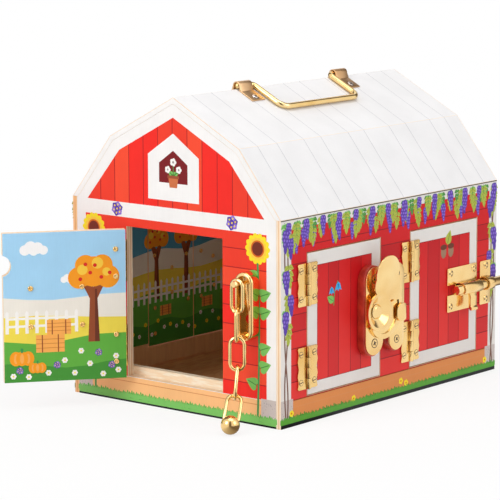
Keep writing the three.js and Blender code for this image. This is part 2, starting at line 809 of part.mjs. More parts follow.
// Pair of doors in the left wall, seen from outside with +Y to the left
const pair_door_width = (pair_doorway_width - pair_meeting_gap) / 2 - door_gap;
const pair_low = pair_doorway_sill + door_gap;
const pair_high = pair_top - door_gap;
const pair_hinges = [pair_doorway_sill + pair_hinge_margin, pair_top - pair_hinge_margin - leaf_height];
const pair_hang = { x: -pin_x, turn: 180, angle: 0, heights: pair_hinges };
const left_front_door = hungDoor('left_front_door', { ...pair_hang, y: pair_from, hand: -1 });
const left_rear_door = hungDoor('left_rear_door', { ...pair_hang, y: pair_to, hand: 1 });
const pair_panel = (hand) => doorPanel(hand, pair_door_width, pair_low, pair_high, side_thickness, false);
left_front_door.add(piece('left_front_door', pair_panel(-1), red_boards));
left_rear_door.add(piece('left_rear_door', pair_panel(1), red_boards));

// Bar latch: a tapered plate with a post, a bar that drops, and a hooked plate on the other door
function latchPlate(hand) {
  const edge = door_gap + pair_door_width - latch_edge;
  const shape = shapeOf([
    [hand * (edge - latch_plate_width), latch_height - latch_plate_short / 2],
    [hand * edge, latch_height - latch_plate_tall / 2],
    [hand * edge, latch_height + latch_plate_tall / 2],
    [hand * (edge - latch_plate_width), latch_height + latch_plate_short / 2],
  ]);
  return onFace(shape, door_face, door_face + latch_plate_thickness);
}

const latch_low = door_face + latch_plate_thickness + latch_clearance;
const latch_pivot = door_gap + pair_door_width - latch_pivot_inset;

function latchBase() {
  const head_low = latch_low + latch_bar_thickness + latch_clearance;
  const overlap = latch_plate_thickness / 2;
  const post = rod('x', latch_post_radius, latch_low - latch_clearance - overlap, head_low + overlap, 12);
  const head = rod('x', latch_head_radius, head_low, head_low + latch_head_thickness, 16);
  return latchPlate(-1).add(post.add(head).translate([0, -latch_pivot, latch_height]));
}

// The bar about its own post, reaching over the other door
function latchBar() {
  const reach = latch_pivot_inset + latch_bar_reach;
  const half = latch_bar_height / 2;
  const outline = new THREE.Shape();
  outline.absarc(0, 0, half, Math.PI / 2, -Math.PI / 2, true);
  outline.absarc(-reach, 0, half, -Math.PI / 2, -1.5 * Math.PI, true);
  const bar = onFace(outline, 0, latch_bar_thickness, 8);
  const thumb = onFace(disc(-reach, half, latch_thumb_radius), 0, latch_bar_thickness, 9);
  const bore_radius = latch_post_radius + latch_clearance;
  const bore = rod('x', bore_radius, -cut_overrun, latch_bar_thickness + cut_overrun, 12);
  return bar.add(thumb).subtract(bore);
}

function latchHook() {
  const low = latch_low - latch_clearance - latch_plate_thickness / 2;
  const seat = latch_height - latch_bar_height / 2 - latch_clearance;
  const out = latch_low + latch_bar_thickness + latch_clearance;
  const profile = shapeOf([
    [low, seat - latch_hook_wall], [out + latch_hook_wall, seat - latch_hook_wall],
    [out + latch_hook_wall, seat + latch_hook_lip], [out, seat + latch_hook_lip],
    [out, seat], [low, seat],
  ]);
  const to = door_gap + pair_door_width - latch_hook_inset + latch_hook_width / 2;
  const hook = extrude(profile, latch_hook_width, upright_y).translate([0, to, 0]);
  return latchPlate(1).add(hook);
}

const latch = group(latch_low, -latch_pivot, latch_height);
latch.add(piece('latch_bar', latchBar(), brass));
left_front_door.add(piece('latch_plate', latchBase(), brass), latch);
left_rear_door.add(piece('latch_hook', latchHook(), brass));

// Chain anchor: an obround cup on the front wall with a headed peg that carries the first link
function chainAnchor() {
  const outline = obround(0, 0, anchor_width, anchor_length);
  const outer = roundedBlock(outline, seat_gap, anchor_depth, anchor_rim_radius);
  const inner_width = anchor_width - 2 * anchor_wall;
  const inner_length = anchor_length - 2 * anchor_wall;
  const cup = obround(0, 0, inner_width, inner_length);
  const hollow = onFace(cup, seat_gap + anchor_back, anchor_depth + cut_overrun, 9);
  const peg_height = chain_top_height - anchor_height;
  const head_low = chain_stand_off + link_wire;
  const peg = rod('x', link_wire / 2, seat_gap + anchor_back / 2, head_low + peg_head_thickness / 2, 10);
  const head = turned([
    [0, 0], [peg_head_radius, 0], [peg_head_radius * 0.8, peg_head_thickness], [0, peg_head_thickness],
  ], 14).translate([head_low, 0, 0]);
  const hole = onFace(disc(0, -anchor_hole_drop, anchor_hole_radius), -cut_overrun, anchor_depth, 9);
  return outer.subtract(hollow).subtract(hole).add(peg.add(head).translate([0, 0, peg_height]));
}

const anchor = group(chain_x, -half_length, anchor_height, -90);
anchor.add(piece('chain_anchor', chainAnchor(), brass));
barn.add(anchor);

// A link about the bar it hangs on: a closed loop of wire in its own upright plane
const link_pitch = link_length - 2 * link_wire - link_play;

function linkPath() {
  const radius = (link_width - link_wire) / 2;
  const top = link_wire + link_play;
  const bottom = -link_pitch;
  const arc = 7;
  const path = [];
  for (const [centre, from] of [[top - radius, 0], [bottom + radius, Math.PI]]) {
    for (let i = 0; i <= arc; i++) {
      const angle = from + (Math.PI * i) / arc;
      path.push(new THREE.Vector3(radius * Math.cos(angle), 0, centre + radius * Math.sin(angle)));
    }
  }
  return path;
}

const side_on = new THREE.Vector3(0, 1, 0);
const chainLink = (wire) => planarWire(linkPath(), side_on, wire / 2, 8, true);

function chainKnob() {
  const ball = outward(new THREE.SphereGeometry(knob_radius, 18, 12)).translate([0, 0, -link_pitch]);
  return ball.subtract(planarWire(linkPath(), side_on, link_wire / 2 + link_play, 8, true));
}

const swing = radians(knob_swing_deg);
const swing_axis = new THREE.Vector3(Math.cos(swing), Math.sin(swing), 0);
const hanging = new THREE.Vector3(chain_x, -half_length - chain_stand_off, chain_top_height);
link_turns_deg.forEach((turn, i) => {
  const last = i === link_turns_deg.length - 1;
  const knob_lean = Math.acos((hanging.z - knob_radius - knob_floor_gap) / link_pitch);
  const lean = last ? knob_lean : radians(link_leans_deg[i]);
  const hang = group(hanging.x, hanging.y, hanging.z);
  hang.setRotationFromAxisAngle(swing_axis, -lean);
  hanging.add(new THREE.Vector3(0, 0, -link_pitch).applyQuaternion(hang.quaternion));
  hang.rotateZ(radians(turn));
  hang.add(piece(`chain_link_${i + 1}`, chainLink(link_wire), brass));
  if (last) hang.add(piece('chain_knob', chainKnob(), brass));
  barn.add(hang);
});

// Carrying handle on the ridge: two bent straps and a wire bail
const handle_radius = handle_wire / 2;
const roof_slope = Math.atan2(ridge_height - knee_height, knee_half_width);
const handle_height = ridge_height + handle_radius + handle_clearance;

function handleStrap() {
  const slope = roof_slope;
  const inner = handle_radius + handle_clearance;
  const outer = inner + strap_thickness;
  const foot = (distance, lift) => [
    distance * Math.cos(slope) + lift * Math.sin(slope),
    ridge_height - distance * Math.sin(slope) + lift * Math.cos(slope),
  ];
  const at = (side, [x, z]) => [side * x, z];
  const half = (radius, lift) => {
    const start = radius / Math.cos(slope);
    return [foot(strap_reach, lift), foot(start + lift, lift)];
  };
  const low = half(inner, seat_gap);
  const high = half(outer, seat_gap + strap_thickness);
  const over = arcPoints(0, handle_height, outer, 0, 180, 10);
  const under = arcPoints(0, handle_height, inner, 180, 0, 10);
  return shapeOf([
    at(1, low[0]), at(1, high[0]), at(1, high[1]), ...over,
    at(-1, high[1]), at(-1, high[0]), at(-1, low[0]), at(-1, low[1]), ...under, at(1, low[1]),
  ]);
}

function carryHandle() {
  const half = handle_leg_spacing / 2;
  const end = strap_spacing / 2 + strap_width / 2 - handle_clearance;
  const points = [[0, end], [0, half + handle_pin_bend]];
  points.push(...arcPoints(handle_pin_bend, half + handle_pin_bend, handle_pin_bend, 180, 270, 4));
  points.push(...arcPoints(handle_reach - handle_bend, half - handle_bend, handle_bend, 90, 0, 6));
  const across = points.map(([d, y]) => [d, -y]).reverse();
  const path = [...points, ...across].map(([d, y]) => new THREE.Vector3(d, y, 0));
  const distinct = path.filter((p, i) => i === 0 || p.distanceTo(path[i - 1]) > joint_gap);
  return planarWire(distinct, new THREE.Vector3(0, 0, 1), handle_radius, 10, false);
}

const handle = new THREE.Group();
handle.position.set(0, handle_offset, handle_height);
handle.rotation.y = roof_slope - radians(handle_rest_tilt);
handle.add(piece('carry_handle', carryHandle(), brass));
for (const [name, side] of [['handle_strap_front', -1], ['handle_strap_rear', 1]]) {
  const front = handle_offset + (side * strap_spacing) / 2 - strap_width / 2;
  barn.add(piece(name, alongLength(handleStrap(), front, front + strap_width), brass));
}
barn.add(handle);

export default barn;
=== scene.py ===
import json
import math
import random

import bmesh
import bpy
from mathutils import Matrix, Vector

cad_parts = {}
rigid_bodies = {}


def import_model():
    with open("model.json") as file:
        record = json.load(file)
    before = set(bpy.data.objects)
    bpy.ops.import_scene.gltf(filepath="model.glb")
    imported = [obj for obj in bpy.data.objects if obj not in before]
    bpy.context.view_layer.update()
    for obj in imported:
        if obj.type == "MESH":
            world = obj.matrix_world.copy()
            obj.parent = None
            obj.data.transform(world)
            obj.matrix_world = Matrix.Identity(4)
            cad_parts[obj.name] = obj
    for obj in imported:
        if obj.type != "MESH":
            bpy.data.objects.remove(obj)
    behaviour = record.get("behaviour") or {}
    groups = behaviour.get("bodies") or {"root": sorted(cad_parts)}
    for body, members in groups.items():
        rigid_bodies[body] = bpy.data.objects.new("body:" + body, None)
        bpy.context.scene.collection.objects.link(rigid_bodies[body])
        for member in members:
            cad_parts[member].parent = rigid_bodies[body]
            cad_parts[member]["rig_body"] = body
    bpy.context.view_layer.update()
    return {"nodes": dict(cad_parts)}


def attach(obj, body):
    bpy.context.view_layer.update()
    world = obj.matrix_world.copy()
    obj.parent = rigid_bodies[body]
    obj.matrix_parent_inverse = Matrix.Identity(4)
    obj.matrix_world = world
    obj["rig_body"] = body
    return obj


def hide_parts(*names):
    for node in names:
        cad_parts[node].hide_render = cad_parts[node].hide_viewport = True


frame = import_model()

# Face sizes are in millimetres and become metres where a mesh is made
MM = 0.001
INK_STEP = 0.012
# How much thicker, in ink steps, each of several overlapping shapes of one ink is than the last
OVERLAP = 0.18

# The barn's own lines
HALF_WIDTH = 123
HALF_LENGTH = 165
EAVE = 185
KNEE = 244
KNEE_HALF = 76
RIDGE = 284
PROFILE = [(HALF_WIDTH, EAVE), (KNEE_HALF, KNEE), (0, RIDGE)]
ROOF_BOARD = 5
SIDE_WALL = 5
FRONT_BOARD = 8
FRONT_DOORWAY = (-57, 24, 57, 163)
RIGHT_DOORWAYS = ((-128.75, 24, -20.25, 153), (24.5, 24, 133, 153))
PAIR_DOORWAY = (-68, 27, 65, 153)
OPEN_ANGLE = math.radians(128)
FRONT_PIN = Vector((-57, -167.3, 0))
KNUCKLE = 2.3
SEAT_GAP = 0.2
SHEET_TOP = SEAT_GAP + 1.2
LATCH_LINE = 88.5

# The edges of the prints
PRINT_TOP = 184.8
GABLE_HALF = 117.8
MURAL = (-156.8, 31, 156.8, 184.6)
DOOR_LOW, DOOR_HIGH, DOOR_EDGE = 25.2, 161.8, 112.8
NOTCH_LOW, NOTCH_HIGH, NOTCH_WIDTH, NOTCH_RADIUS = 122, 142.3, 7.9, 9.8
# The doors of each side wall: body, white frame, red boards and the lines between them
SIDE_DOORS = {
    1: (
        ("right_front_door", (-127.55, 25.2, -21.45, 151.8), (-113.9, 35.7, -34, 140), (-97.9, -82.7, -65.2, -49.8)),
        ("right_rear_door", (25.7, 25.2, 131.8, 151.8), (39.2, 37, 120.5, 140), (53, 71, 86.7, 103.5)),
    ),
    -1: (
        ("left_front_door", (2.1, 28.2, 66.8, 151.8), (12.6, 39.5, 56.3, 140.5), (27.2, 41.8)),
        ("left_rear_door", (-63.8, 28.2, 0.9, 151.8), (-53.3, 39.5, -9.6, 140.5), (-38.7, -24.1)),
    ),
}

# Printing inks, as they look in plain daylight
INKS = {
    "barn_red": (240, 58, 36), "bright_red": (244, 38, 28), "warm_red": (246, 74, 44), "groove_red": (176, 26, 26),
    "side_red": (210, 18, 24), "side_red_deep": (194, 10, 20), "side_groove": (140, 8, 18), "loft_red": (122, 16, 24),
    # The second white on the next line is a greyer copy of the trim white for the side walls: painted shade of the less
    # lit sides
    "trim_white": (246, 244, 243), "side_trim": (230, 226, 222), "eave_shadow": (74, 72, 50),
    "roof_white": (241, 240, 241), "roof_line": (198, 198, 203), "roof_edge": (246, 226, 206),
    "plank": (253, 194, 134), "plank_line": (222, 146, 88), "side_plank": (224, 142, 78),
    # The near-black ink at the end of the next line is a painted contact shadow along the foot of the walls
    "stone": (205, 194, 190), "stone_speck": (160, 150, 152), "base_line": (22, 22, 24),
    "grass": (128, 202, 104), "grass_deep": (92, 176, 78), "side_grass": (92, 168, 56),
    "side_grass_deep": (66, 140, 44), "meadow": (98, 178, 66), "meadow_deep": (70, 150, 56),
    # The second sky on the next line is a darker copy of the sky ink for the pictures inside the barn: painted shade of
    # the dim inside
    "sky": (166, 215, 247), "mural_sky": (84, 164, 204), "cloud": (250, 250, 250),
    "far_field": (240, 236, 226), "corn": (243, 222, 82), "straw": (250, 176, 88), "straw_line": (214, 130, 56),
    "crown": (250, 158, 32), "crown_light": (252, 206, 70), "apple": (222, 44, 36),
    "bark": (150, 76, 44), "bark_deep": (108, 52, 34), "acorn": (158, 122, 96), "vine": (118, 78, 62),
    "petal_white": (248, 246, 242), "petal_yellow": (252, 228, 40), "flower_eye": (222, 104, 30),
    "eye_deep": (116, 40, 22), "violet": (92, 62, 168), "violet_light": (142, 112, 214),
    "bell_blue": (62, 170, 226), "bell_blue_deep": (30, 120, 190), "stem": (62, 152, 82),
    "leaf": (124, 196, 96), "leaf_deep": (66, 138, 62), "olive": (176, 188, 74), "olive_deep": (112, 128, 40),
    "pot": (204, 112, 66), "pot_deep": (158, 78, 46),
}
# Inks that grow paler towards the foot of the wall and stay darker up under the eaves: painted light bounced from the
# floor low down and painted shade under the eaves
PAINTED_FOOT_LIGHT = {"side_red": (228, 50, 46), "side_red_deep": (212, 38, 40)}


def shade(red, green, blue):
    """A colour written in 0 to 255, as the shader takes it"""
    parts = (part / 255 for part in (red, green, blue))
    return (*(c / 12.92 if c <= 0.04045 else ((c + 0.055) / 1.055) ** 2.4 for c in parts), 1.0)


def toned(colour, factor):
    return (*(min(c * factor, 1.0) for c in colour[:3]), 1.0)


def grey(level):
    return (level, level, level, 1)


# Finishes


class Nodes:
    """A node tree, built up node by node"""

    def __init__(self, tree):
        self.tree = tree

    def feed(self, socket, value):
        if isinstance(value, bpy.types.NodeSocket):
            self.tree.links.new(value, socket)
        else:
            socket.default_value = value

    def add(self, kind, inputs=(), **settings):
        node = self.tree.nodes.new(kind)
        for name, value in settings.items():
            setattr(node, name, value)
        for socket, value in dict(inputs).items():
            self.feed(node.inputs[socket], value)
        return node

    def maths(self, way, a, b):
        return self.add("ShaderNodeMath", {0: a, 1: b}, operation=way).outputs[0]

    def vectors(self, way, inputs):
        return self.add("ShaderNodeVectorMath", inputs, operation=way).outputs

    def ramp(self, factor, *stops, steps=False):
        node = self.add("ShaderNodeValToRGB", {"Fac": factor})
        ramp = node.color_ramp
        ramp.interpolation = "CONSTANT" if steps else "LINEAR"
        while len(ramp.elements) < len(stops):
            ramp.elements.new(0.5)
        for element, (at, colour) in zip(ramp.elements, stops):
            element.position = at
            element.color = colour
        return node.outputs["Color"]


class Finish(Nodes):
    """A surface finish on object coordinates"""

    def __init__(self, name, roughness, metallic=0.0, coat=0.0):
        self.material = bpy.data.materials.new(name)
        self.material.use_nodes = True
        super().__init__(self.material.node_tree)
        self.shader = self.tree.nodes["Principled BSDF"].inputs
        self.surface = self.tree.nodes["Principled BSDF"].outputs[0]
        for label, value in (("Roughness", roughness), ("Metallic", metallic), ("Coat Weight", coat)):
            self.shader[label].default_value = value
        self.place = self.add("ShaderNodeTexCoord").outputs["Object"]

    def stretched(self, *scale):
        return self.add("ShaderNodeMapping", {"Vector": self.place, "Scale": scale}).outputs["Vector"]

    def noise(self, vector, scale, detail=3.0, roughness=0.55):
        inputs = {"Vector": vector, "Scale": scale, "Detail": detail, "Roughness": roughness}
        return self.add("ShaderNodeTexNoise", inputs).outputs["Fac"]

    def mixed(self, factor, a, b, way="MIX"):
        return self.add("ShaderNodeMix", {0: factor, 6: a, 7: b}, data_type="RGBA", blend_type=way).outputs[2]

    def colour(self, value):
        self.feed(self.shader["Base Color"], value)

    def matt(self, factor, low, high):
        node = self.add("ShaderNodeMapRange", {"Value": factor, "To Min": low, "To Max": high})
        self.feed(self.shader["Roughness"], node.outputs["Result"])

    def raised(self, height, strength, distance):
        node = self.add("ShaderNodeBump", {"Height": height, "Strength": strength, "Distance": distance})
        self.feed(self.shader["Normal"], node.outputs["Normal"])


made_inks = {}


def ink(name):
    """Printed ink on sanded board: a faint mottle, fine board grain and a soft gloss"""
    if name not in made_inks:
        colour = shade(*INKS[name])
        finish = Finish("ink_" + name, 0.42)
        finish.shader["Specular IOR Level"].default_value = 0.22
        mottle = finish.noise(finish.place, 34, 3)
        tone = finish.ramp(mottle, (0.3, toned(colour, 0.965)), (0.7, toned(colour, 1.02)))
        # Painted light: the ink grows paler towards the foot of the wall and darker up under the eaves
        if name in PAINTED_FOOT_LIGHT:
            apart = finish.add("ShaderNodeSeparateXYZ", {0: finish.place})
            rise = finish.maths("MULTIPLY", apart.outputs["Z"], 1 / (EAVE * MM))
            share = finish.ramp(rise, (0.2, grey(0)), (0.75, grey(1)))
            tone = finish.mixed(share, shade(*PAINTED_FOOT_LIGHT[name]), tone)
        grain = finish.noise(finish.stretched(900, 900, 70), 1.0, 2)
        speck = finish.ramp(grain, (0.35, grey(0.95)), (0.6, grey(1)))
        finish.colour(finish.mixed(0.35, tone, speck, "MULTIPLY"))
        finish.matt(mottle, 0.38, 0.5)
        finish.raised(grain, 0.1, 0.0001)
        made_inks[name] = finish.material
    return made_inks[name]


def plywood(name, axis, start, thickness, plies, pale=(255, 236, 212), dark=(240, 202, 164)):
    """Birch plywood: pale and darker plies across its thickness and a long open grain"""
    finish = Finish(name, 0.62)
    across = finish.vectors("DOT_PRODUCT", {0: finish.place, 1: axis})["Value"]
    layer = finish.maths("DIVIDE", finish.maths("SUBTRACT", across, start * MM), thickness * MM)
    stops = [(i / plies, shade(*(dark if i % 2 else pale))) for i in range(plies)]
    grain = finish.noise(finish.stretched(260, 260, 26), 1.0, 4, 0.6)
    streaks = finish.ramp(grain, (0.32, (0.8, 0.72, 0.62, 1)), (0.62, grey(1)))
    finish.colour(finish.mixed(0.55, finish.ramp(layer, *stops, steps=True), streaks, "MULTIPLY"))
    finish.matt(grain, 0.55, 0.75)
    finish.raised(grain, 0.25, 0.0002)
    return finish.material


def pine(name, pale, dark, along):
    """Plain sanded board with long soft grain lines"""
    finish = Finish(name, 0.58)
    warp = finish.noise(finish.stretched(*along), 1.0, 4, 0.5)
    lines = finish.maths("SINE", finish.maths("MULTIPLY", warp, 34), 0)
    grain = finish.maths("ADD", finish.maths("MULTIPLY", lines, 0.22), finish.maths("MULTIPLY", warp, 0.9))
    finish.colour(finish.ramp(grain, (0.25, shade(*dark)), (0.75, shade(*pale))))
    finish.matt(warp, 0.5, 0.68)
    finish.raised(grain, 0.15, 0.0002)
    return finish.material


def painted(name, colour, edge):
    """Sprayed paint with a slight orange peel and a darker tone where it is thin"""
    finish = Finish(name, 0.38, coat=0.15)
    cloudy = finish.noise(finish.place, 90, 3)
    finish.colour(finish.ramp(cloudy, (0.3, shade(*edge)), (0.65, shade(*colour))))
    finish.matt(cloudy, 0.32, 0.46)
    finish.raised(finish.noise(finish.place, 900, 2), 0.08, 0.0002)
    return finish.material


def plated(name, colour, deep, roughness=0.2):
    """Bright plated metal: a slow tone change, faint rubbing marks and a slight waviness from pressing"""
    finish = Finish(name, roughness, metallic=1.0)
    slow = finish.noise(finish.place, 26, 2)
    finish.colour(finish.ramp(slow, (0.3, shade(*deep)), (0.7, shade(*colour))))
    finish.matt(finish.noise(finish.stretched(420, 420, 90), 1.0, 3), roughness * 0.9, roughness * 1.12)
    finish.raised(slow, 0.08, 0.001)
    return finish.material


brass = plated("polished_brass", (252, 220, 156), (240, 194, 122), 0.17)
hinge_brass = plated("rolled_brass", (250, 216, 148), (232, 184, 106), 0.24)
brass_wire = plated("brass_wire", (252, 224, 164), (238, 196, 122), 0.14)
strap_brass = plated("brushed_strap", (228, 190, 146), (204, 160, 114), 0.34)
nickel = plated("bright_nickel", (240, 228, 222), (206, 194, 188), 0.2)
# Painted shade: the dark in the slots of the screws and the dark ring round their countersinks
slot_shade_paint = painted("screw_recess", (74, 46, 22), (46, 26, 12))
block_red = painted("block_red", (204, 66, 44), (160, 38, 28))

# Outlines, meshes and objects


def box(u0, v0, u1, v1):
    return [(u0, v0), (u1, v0), (u1, v1), (u0, v1)]


def circle(u, v, radius, sides, squash=1.0):
    turns = [2 * math.pi * i / sides for i in range(sides)]
    return [(u + radius * math.cos(t), v + radius * squash * math.sin(t)) for t in turns]


def lobed(u, v, radius, petals, depth, steps, turn=0.0, start=0.0):
    """A round outline with even lobes"""
    points = []
    for i in range(steps):
        angle = start + 2 * math.pi * i / steps
        lobe = radius * (1 - depth + depth * abs(math.cos(petals * angle / 2)))
        points.append((u + lobe * math.cos(angle + turn), v + lobe * math.sin(angle + turn)))
    return points


def placed(points, u, v, size, turn=0.0):
    """An outline scaled, turned by degrees and moved"""
    c, s = math.cos(math.radians(turn)) * size, math.sin(math.radians(turn)) * size
    return [(u + a * c - b * s, v + a * s + b * c) for a, b in points]


def signed_area(points):
    return sum(a[0] * b[1] - b[0] * a[1] for a, b in zip(points, points[1:] + points[:1])) / 2


def clipped(points, window):
    """The part of a polygon inside a convex window that runs counter-clockwise"""
    for (x0, y0), (x1, y1) in zip(window, window[1:] + window[:1]):
        side = [(x1 - x0) * (y - y0) - (y1 - y0) * (x - x0) for x, y in points]
        kept = []
        for j, here in enumerate(points):
            before = points[j - 1]
            a, b = side[j - 1], side[j]
            if (a < 0) != (b < 0):
                t = a / (a - b)
                kept.append((before[0] + (here[0] - before[0]) * t, before[1] + (here[1] - before[1]) * t))
            if b >= 0:
                kept.append(here)
        points = kept
    return points if len(points) > 2 else []


def ring(b, points, z):
    return [b.verts.new((u, v, z)) for u, v in points]


def walls(b, low, high):
    """Faces between two rings, one over the other, that meet in points on the axis"""
    made = []
    for i in range(len(low)):
        made.append(b.faces.new(tuple(dict.fromkeys((low[i - 1], low[i], high[i], high[i - 1])))))
    return made


def slab(b, foot, top):
    """A closed slab between two rings that run counter-clockwise"""
    return [b.faces.new(top), b.faces.new(foot[::-1]), *walls(b, foot, top)]


def plain_object(name, mesh):
    made = bpy.data.objects.new(name, mesh)
    bpy.context.scene.collection.objects.link(made)
    return made


def meshed(name, points, edges=(), faces=()):
    mesh = bpy.data.meshes.new(name)
    mesh.from_pydata(points, edges, faces)
    return plain_object(name, mesh)


def built(name, b, smooth=False):
    """The mesh just built, as an object"""
    mesh = bpy.data.meshes.new(name)
    b.to_mesh(mesh)
    b.free()
    if smooth:
        mesh.polygons.foreach_set("use_smooth", [True] * len(mesh.polygons))
    return plain_object(name, mesh)


def applied(thing):
    """The mesh that an object's modifiers make"""
    bpy.context.view_layer.update()
    return bpy.data.meshes.new_from_object(thing.evaluated_get(bpy.context.evaluated_depsgraph_get()))


def carried(piece, body):
    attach(piece, body)


# Flat faces of the barn


class Face:
    """A flat side: the body it belongs to, its corner and its directions across and up"""

    def __init__(self, body, origin, across, up=(0, 0, 1)):
        self.body = body
        u, v = Vector(across).normalized(), Vector(up).normalized()
        self.normal = u.cross(v)
        self.place = Matrix((u, v, self.normal)).transposed().to_4x4()
        self.place.translation = Vector(origin) * MM

    def at(self, u, v, height=0.0):
        return self.place @ (Vector((u, v, height)) * MM)


def side_face(body, side, depth=0):
    """The outer face of a side wall or, with a depth, the inner one"""
    return Face(body, (side * (HALF_WIDTH - depth), 0, 0), (0, -side if depth else side, 0))


front = Face("barn", (0, -HALF_LENGTH, 0), (1, 0, 0))
back = Face("barn", (0, HALF_LENGTH, 0), (-1, 0, 0))
right = side_face("barn", 1)
left = side_face("barn", -1)
door_along = Vector((math.cos(OPEN_ANGLE), -math.sin(OPEN_ANGLE), 0))
door_out = Vector((-math.sin(OPEN_ANGLE), -math.cos(OPEN_ANGLE), 0))
door_back = FRONT_PIN - door_out * (KNUCKLE + FRONT_BOARD)
door_inner = Face("front_door", door_back + door_along * DOOR_EDGE, -door_along)
door_outer = Face("front_door", FRONT_PIN - door_out * KNUCKLE, door_along)


def roof_profile(inset):
    """Eave, knee and ridge on the right side, set in from the outer face"""
    lines = []
    for (x0, z0), (x1, z1) in zip(PROFILE, PROFILE[1:]):
        size = math.hypot(x1 - x0, z1 - z0)
        lines.append((x0 + (z0 - z1) / size * inset, z0 + (x1 - x0) / size * inset, x1 - x0, z1 - z0))
    (ax, az, adx, adz), (bx, bz, bdx, bdz) = lines
    t = ((bx - ax) * bdz - (bz - az) * bdx) / (adx * bdz - adz * bdx)
    return [(ax + adx * (EAVE - az) / adz, EAVE), (ax + adx * t, az + adz * t), (0, bz - bdz * bx / bdx)]


# Printed layers


class Print:
    """Ink areas on one face, each a thin closed layer over the ones under it"""

    def __init__(self, name, face, windows):
        self.name = name
        self.face = face
        self.windows = windows
        self.mesh = bmesh.new()
        self.inks = []

    def area(self, points, colour, layer):
        if colour not in self.inks:
            self.inks.append(colour)
        for window in self.windows:
            outline = clipped(list(points), window)
            outline = [p for i, p in enumerate(outline) if math.dist(p, outline[i - 1]) > 0.01]
            if len(outline) < 3 or abs(signed_area(outline)) < 0.02:
                continue
            if signed_area(outline) < 0:
                outline.reverse()
            outline = placed(outline, 0, 0, MM)
            low, top = (ring(self.mesh, outline, INK_STEP * MM * level) for level in (0.25, layer))
            for face in slab(self.mesh, low, top):
                face.material_index = self.inks.index(colour)

    def box(self, u0, v0, u1, v1, colour, layer):
        self.area(box(u0, v0, u1, v1), colour, layer)

    def disc(self, u, v, radius, colour, layer, sides=20, squash=1.0):
        self.area(circle(u, v, radius, sides, squash), colour, layer)

    def line(self, points, width, colour, layer):
        """A stroke of even width along a run of points"""
        sides = []
        for i, (u, v) in enumerate(points):
            before, after = points[max(i - 1, 0)], points[min(i + 1, len(points) - 1)]
            du, dv = after[0] - before[0], after[1] - before[1]
            share = width / 2 / (math.hypot(du, dv) or 1)
            sides.append(((u - dv * share, v + du * share), (u + dv * share, v - du * share)))
        for (a, b), (c, d) in zip(sides, sides[1:]):
            self.area([a, c, d, b], colour, layer)

    def finish(self, slot="printed_board"):
        self.mesh.normal_update()
        bmesh.ops.triangulate(self.mesh, faces=self.mesh.faces[:], ngon_method="EAR_CLIP")
        piece = built(self.name, self.mesh)
        for colour in self.inks:
            piece.data.materials.append(ink(colour))
        piece.data.transform(self.face.place)
        carried(piece, self.face.body)


# Shapes drawn in the prints


def rolling(p, u0, u1, low, base, rise, count, colour, layer, phase):
    """A field with a soft rolling line at its top"""
    total = max(int(count * 6), 4)
    shares = [i / total for i in range(total, -1, -1)]
    top = [(u0 + (u1 - u0) * s, base + rise * math.sin(2 * math.pi * count * s + phase)) for s in shares]
    p.area([(u0, low), (u1, low), *top], colour, layer)


def cloud(p, u, v, size, layer):
    puffs = ((-1, 0, 0.6), (-0.35, 0.3, 0.72), (0.45, 0.22, 0.66), (1.1, -0.04, 0.52), (0, -0.14, 0.5))
    for i, (du, dv, r) in enumerate(puffs):
        p.disc(u + du * size, v + dv * size, r * size, "cloud", layer + i * OVERLAP, 22)


def round_tree(p, u, v, height, spread, layer):
    """A trunk with two boughs, a crown of overlapping rounds and red fruit"""
    half = spread * 0.13
    top = v + height * 0.55
    p.area([(u - half * 1.7, v), (u + half * 1.7, v), (u + half, top), (u - half, top)], "bark", layer)
    dark_side = [(u + half * 0.3, v), (u + half * 1.7, v), (u + half, top), (u + half * 0.4, top)]
    p.area(dark_side, "bark_deep", layer + 1)
    for side in (-1, 1):
        bough = [
            (u, top - height * 0.18), (u + side * spread * 0.5, top + height * 0.1),
            (u + side * spread * 0.4, top + height * 0.14), (u - side * half * 0.6, top),
        ]
        p.area(bough, "bark", layer + 0.4 + side * OVERLAP)
    centre = v + height * 0.7
    crown = ((-0.55, -0.1, 0.42), (0.55, -0.08, 0.44), (0, 0.12, 0.58), (-0.3, 0.36, 0.4), (0.34, 0.36, 0.4))
    lights = ((-0.42, 0.2, 0.2), (0.16, 0.44, 0.22), (0.5, 0.1, 0.16))
    fruit = ((-0.5, -0.16), (-0.12, 0.08), (0.3, -0.1), (0.62, 0.06), (0.06, 0.36), (-0.3, 0.4))
    for rounds, colour, lift, step, sides in (
        (crown, "crown", 2, OVERLAP, 22), (lights, "crown_light", 3, 0, 16),
        ([(*at, 0.075) for at in fruit], "apple", 4, 0, 10),
    ):
        for i, (du, dv, r) in enumerate(rounds):
            p.disc(u + du * spread, centre + dv * spread, r * spread, colour, layer + lift + i * step, sides)


def fence(p, u0, u1, v, height, layer):
    for share in (0.35, 0.72):
        p.box(u0, v + height * share - 1.1, u1, v + height * share + 1.1, "petal_white", layer)
    count = max(int((u1 - u0) / 8), 1)
    top = v + height
    for i in range(count + 1):
        u = u0 + (u1 - u0) * i / count
        p.area([(u - 1.5, v), (u + 1.5, v), (u + 1.5, top), (u, top + 1.8), (u - 1.5, top)], "petal_white", layer + 1)


def hay_bale(p, u, v, width, layer):
    height = width * 0.62
    left_edge, right_edge = u - width / 2, u + width / 2
    p.box(left_edge, v, right_edge, v + height, "straw", layer)
    for share in (0.25, 0.5, 0.75):
        p.box(left_edge, v + height * share - 0.3, right_edge, v + height * share + 0.3, "straw_line", layer + 1)
    for side in (-0.28, 0.28):
        p.box(u + width * side - 0.5, v, u + width * side + 0.5, v + height, "bark", layer + 2)


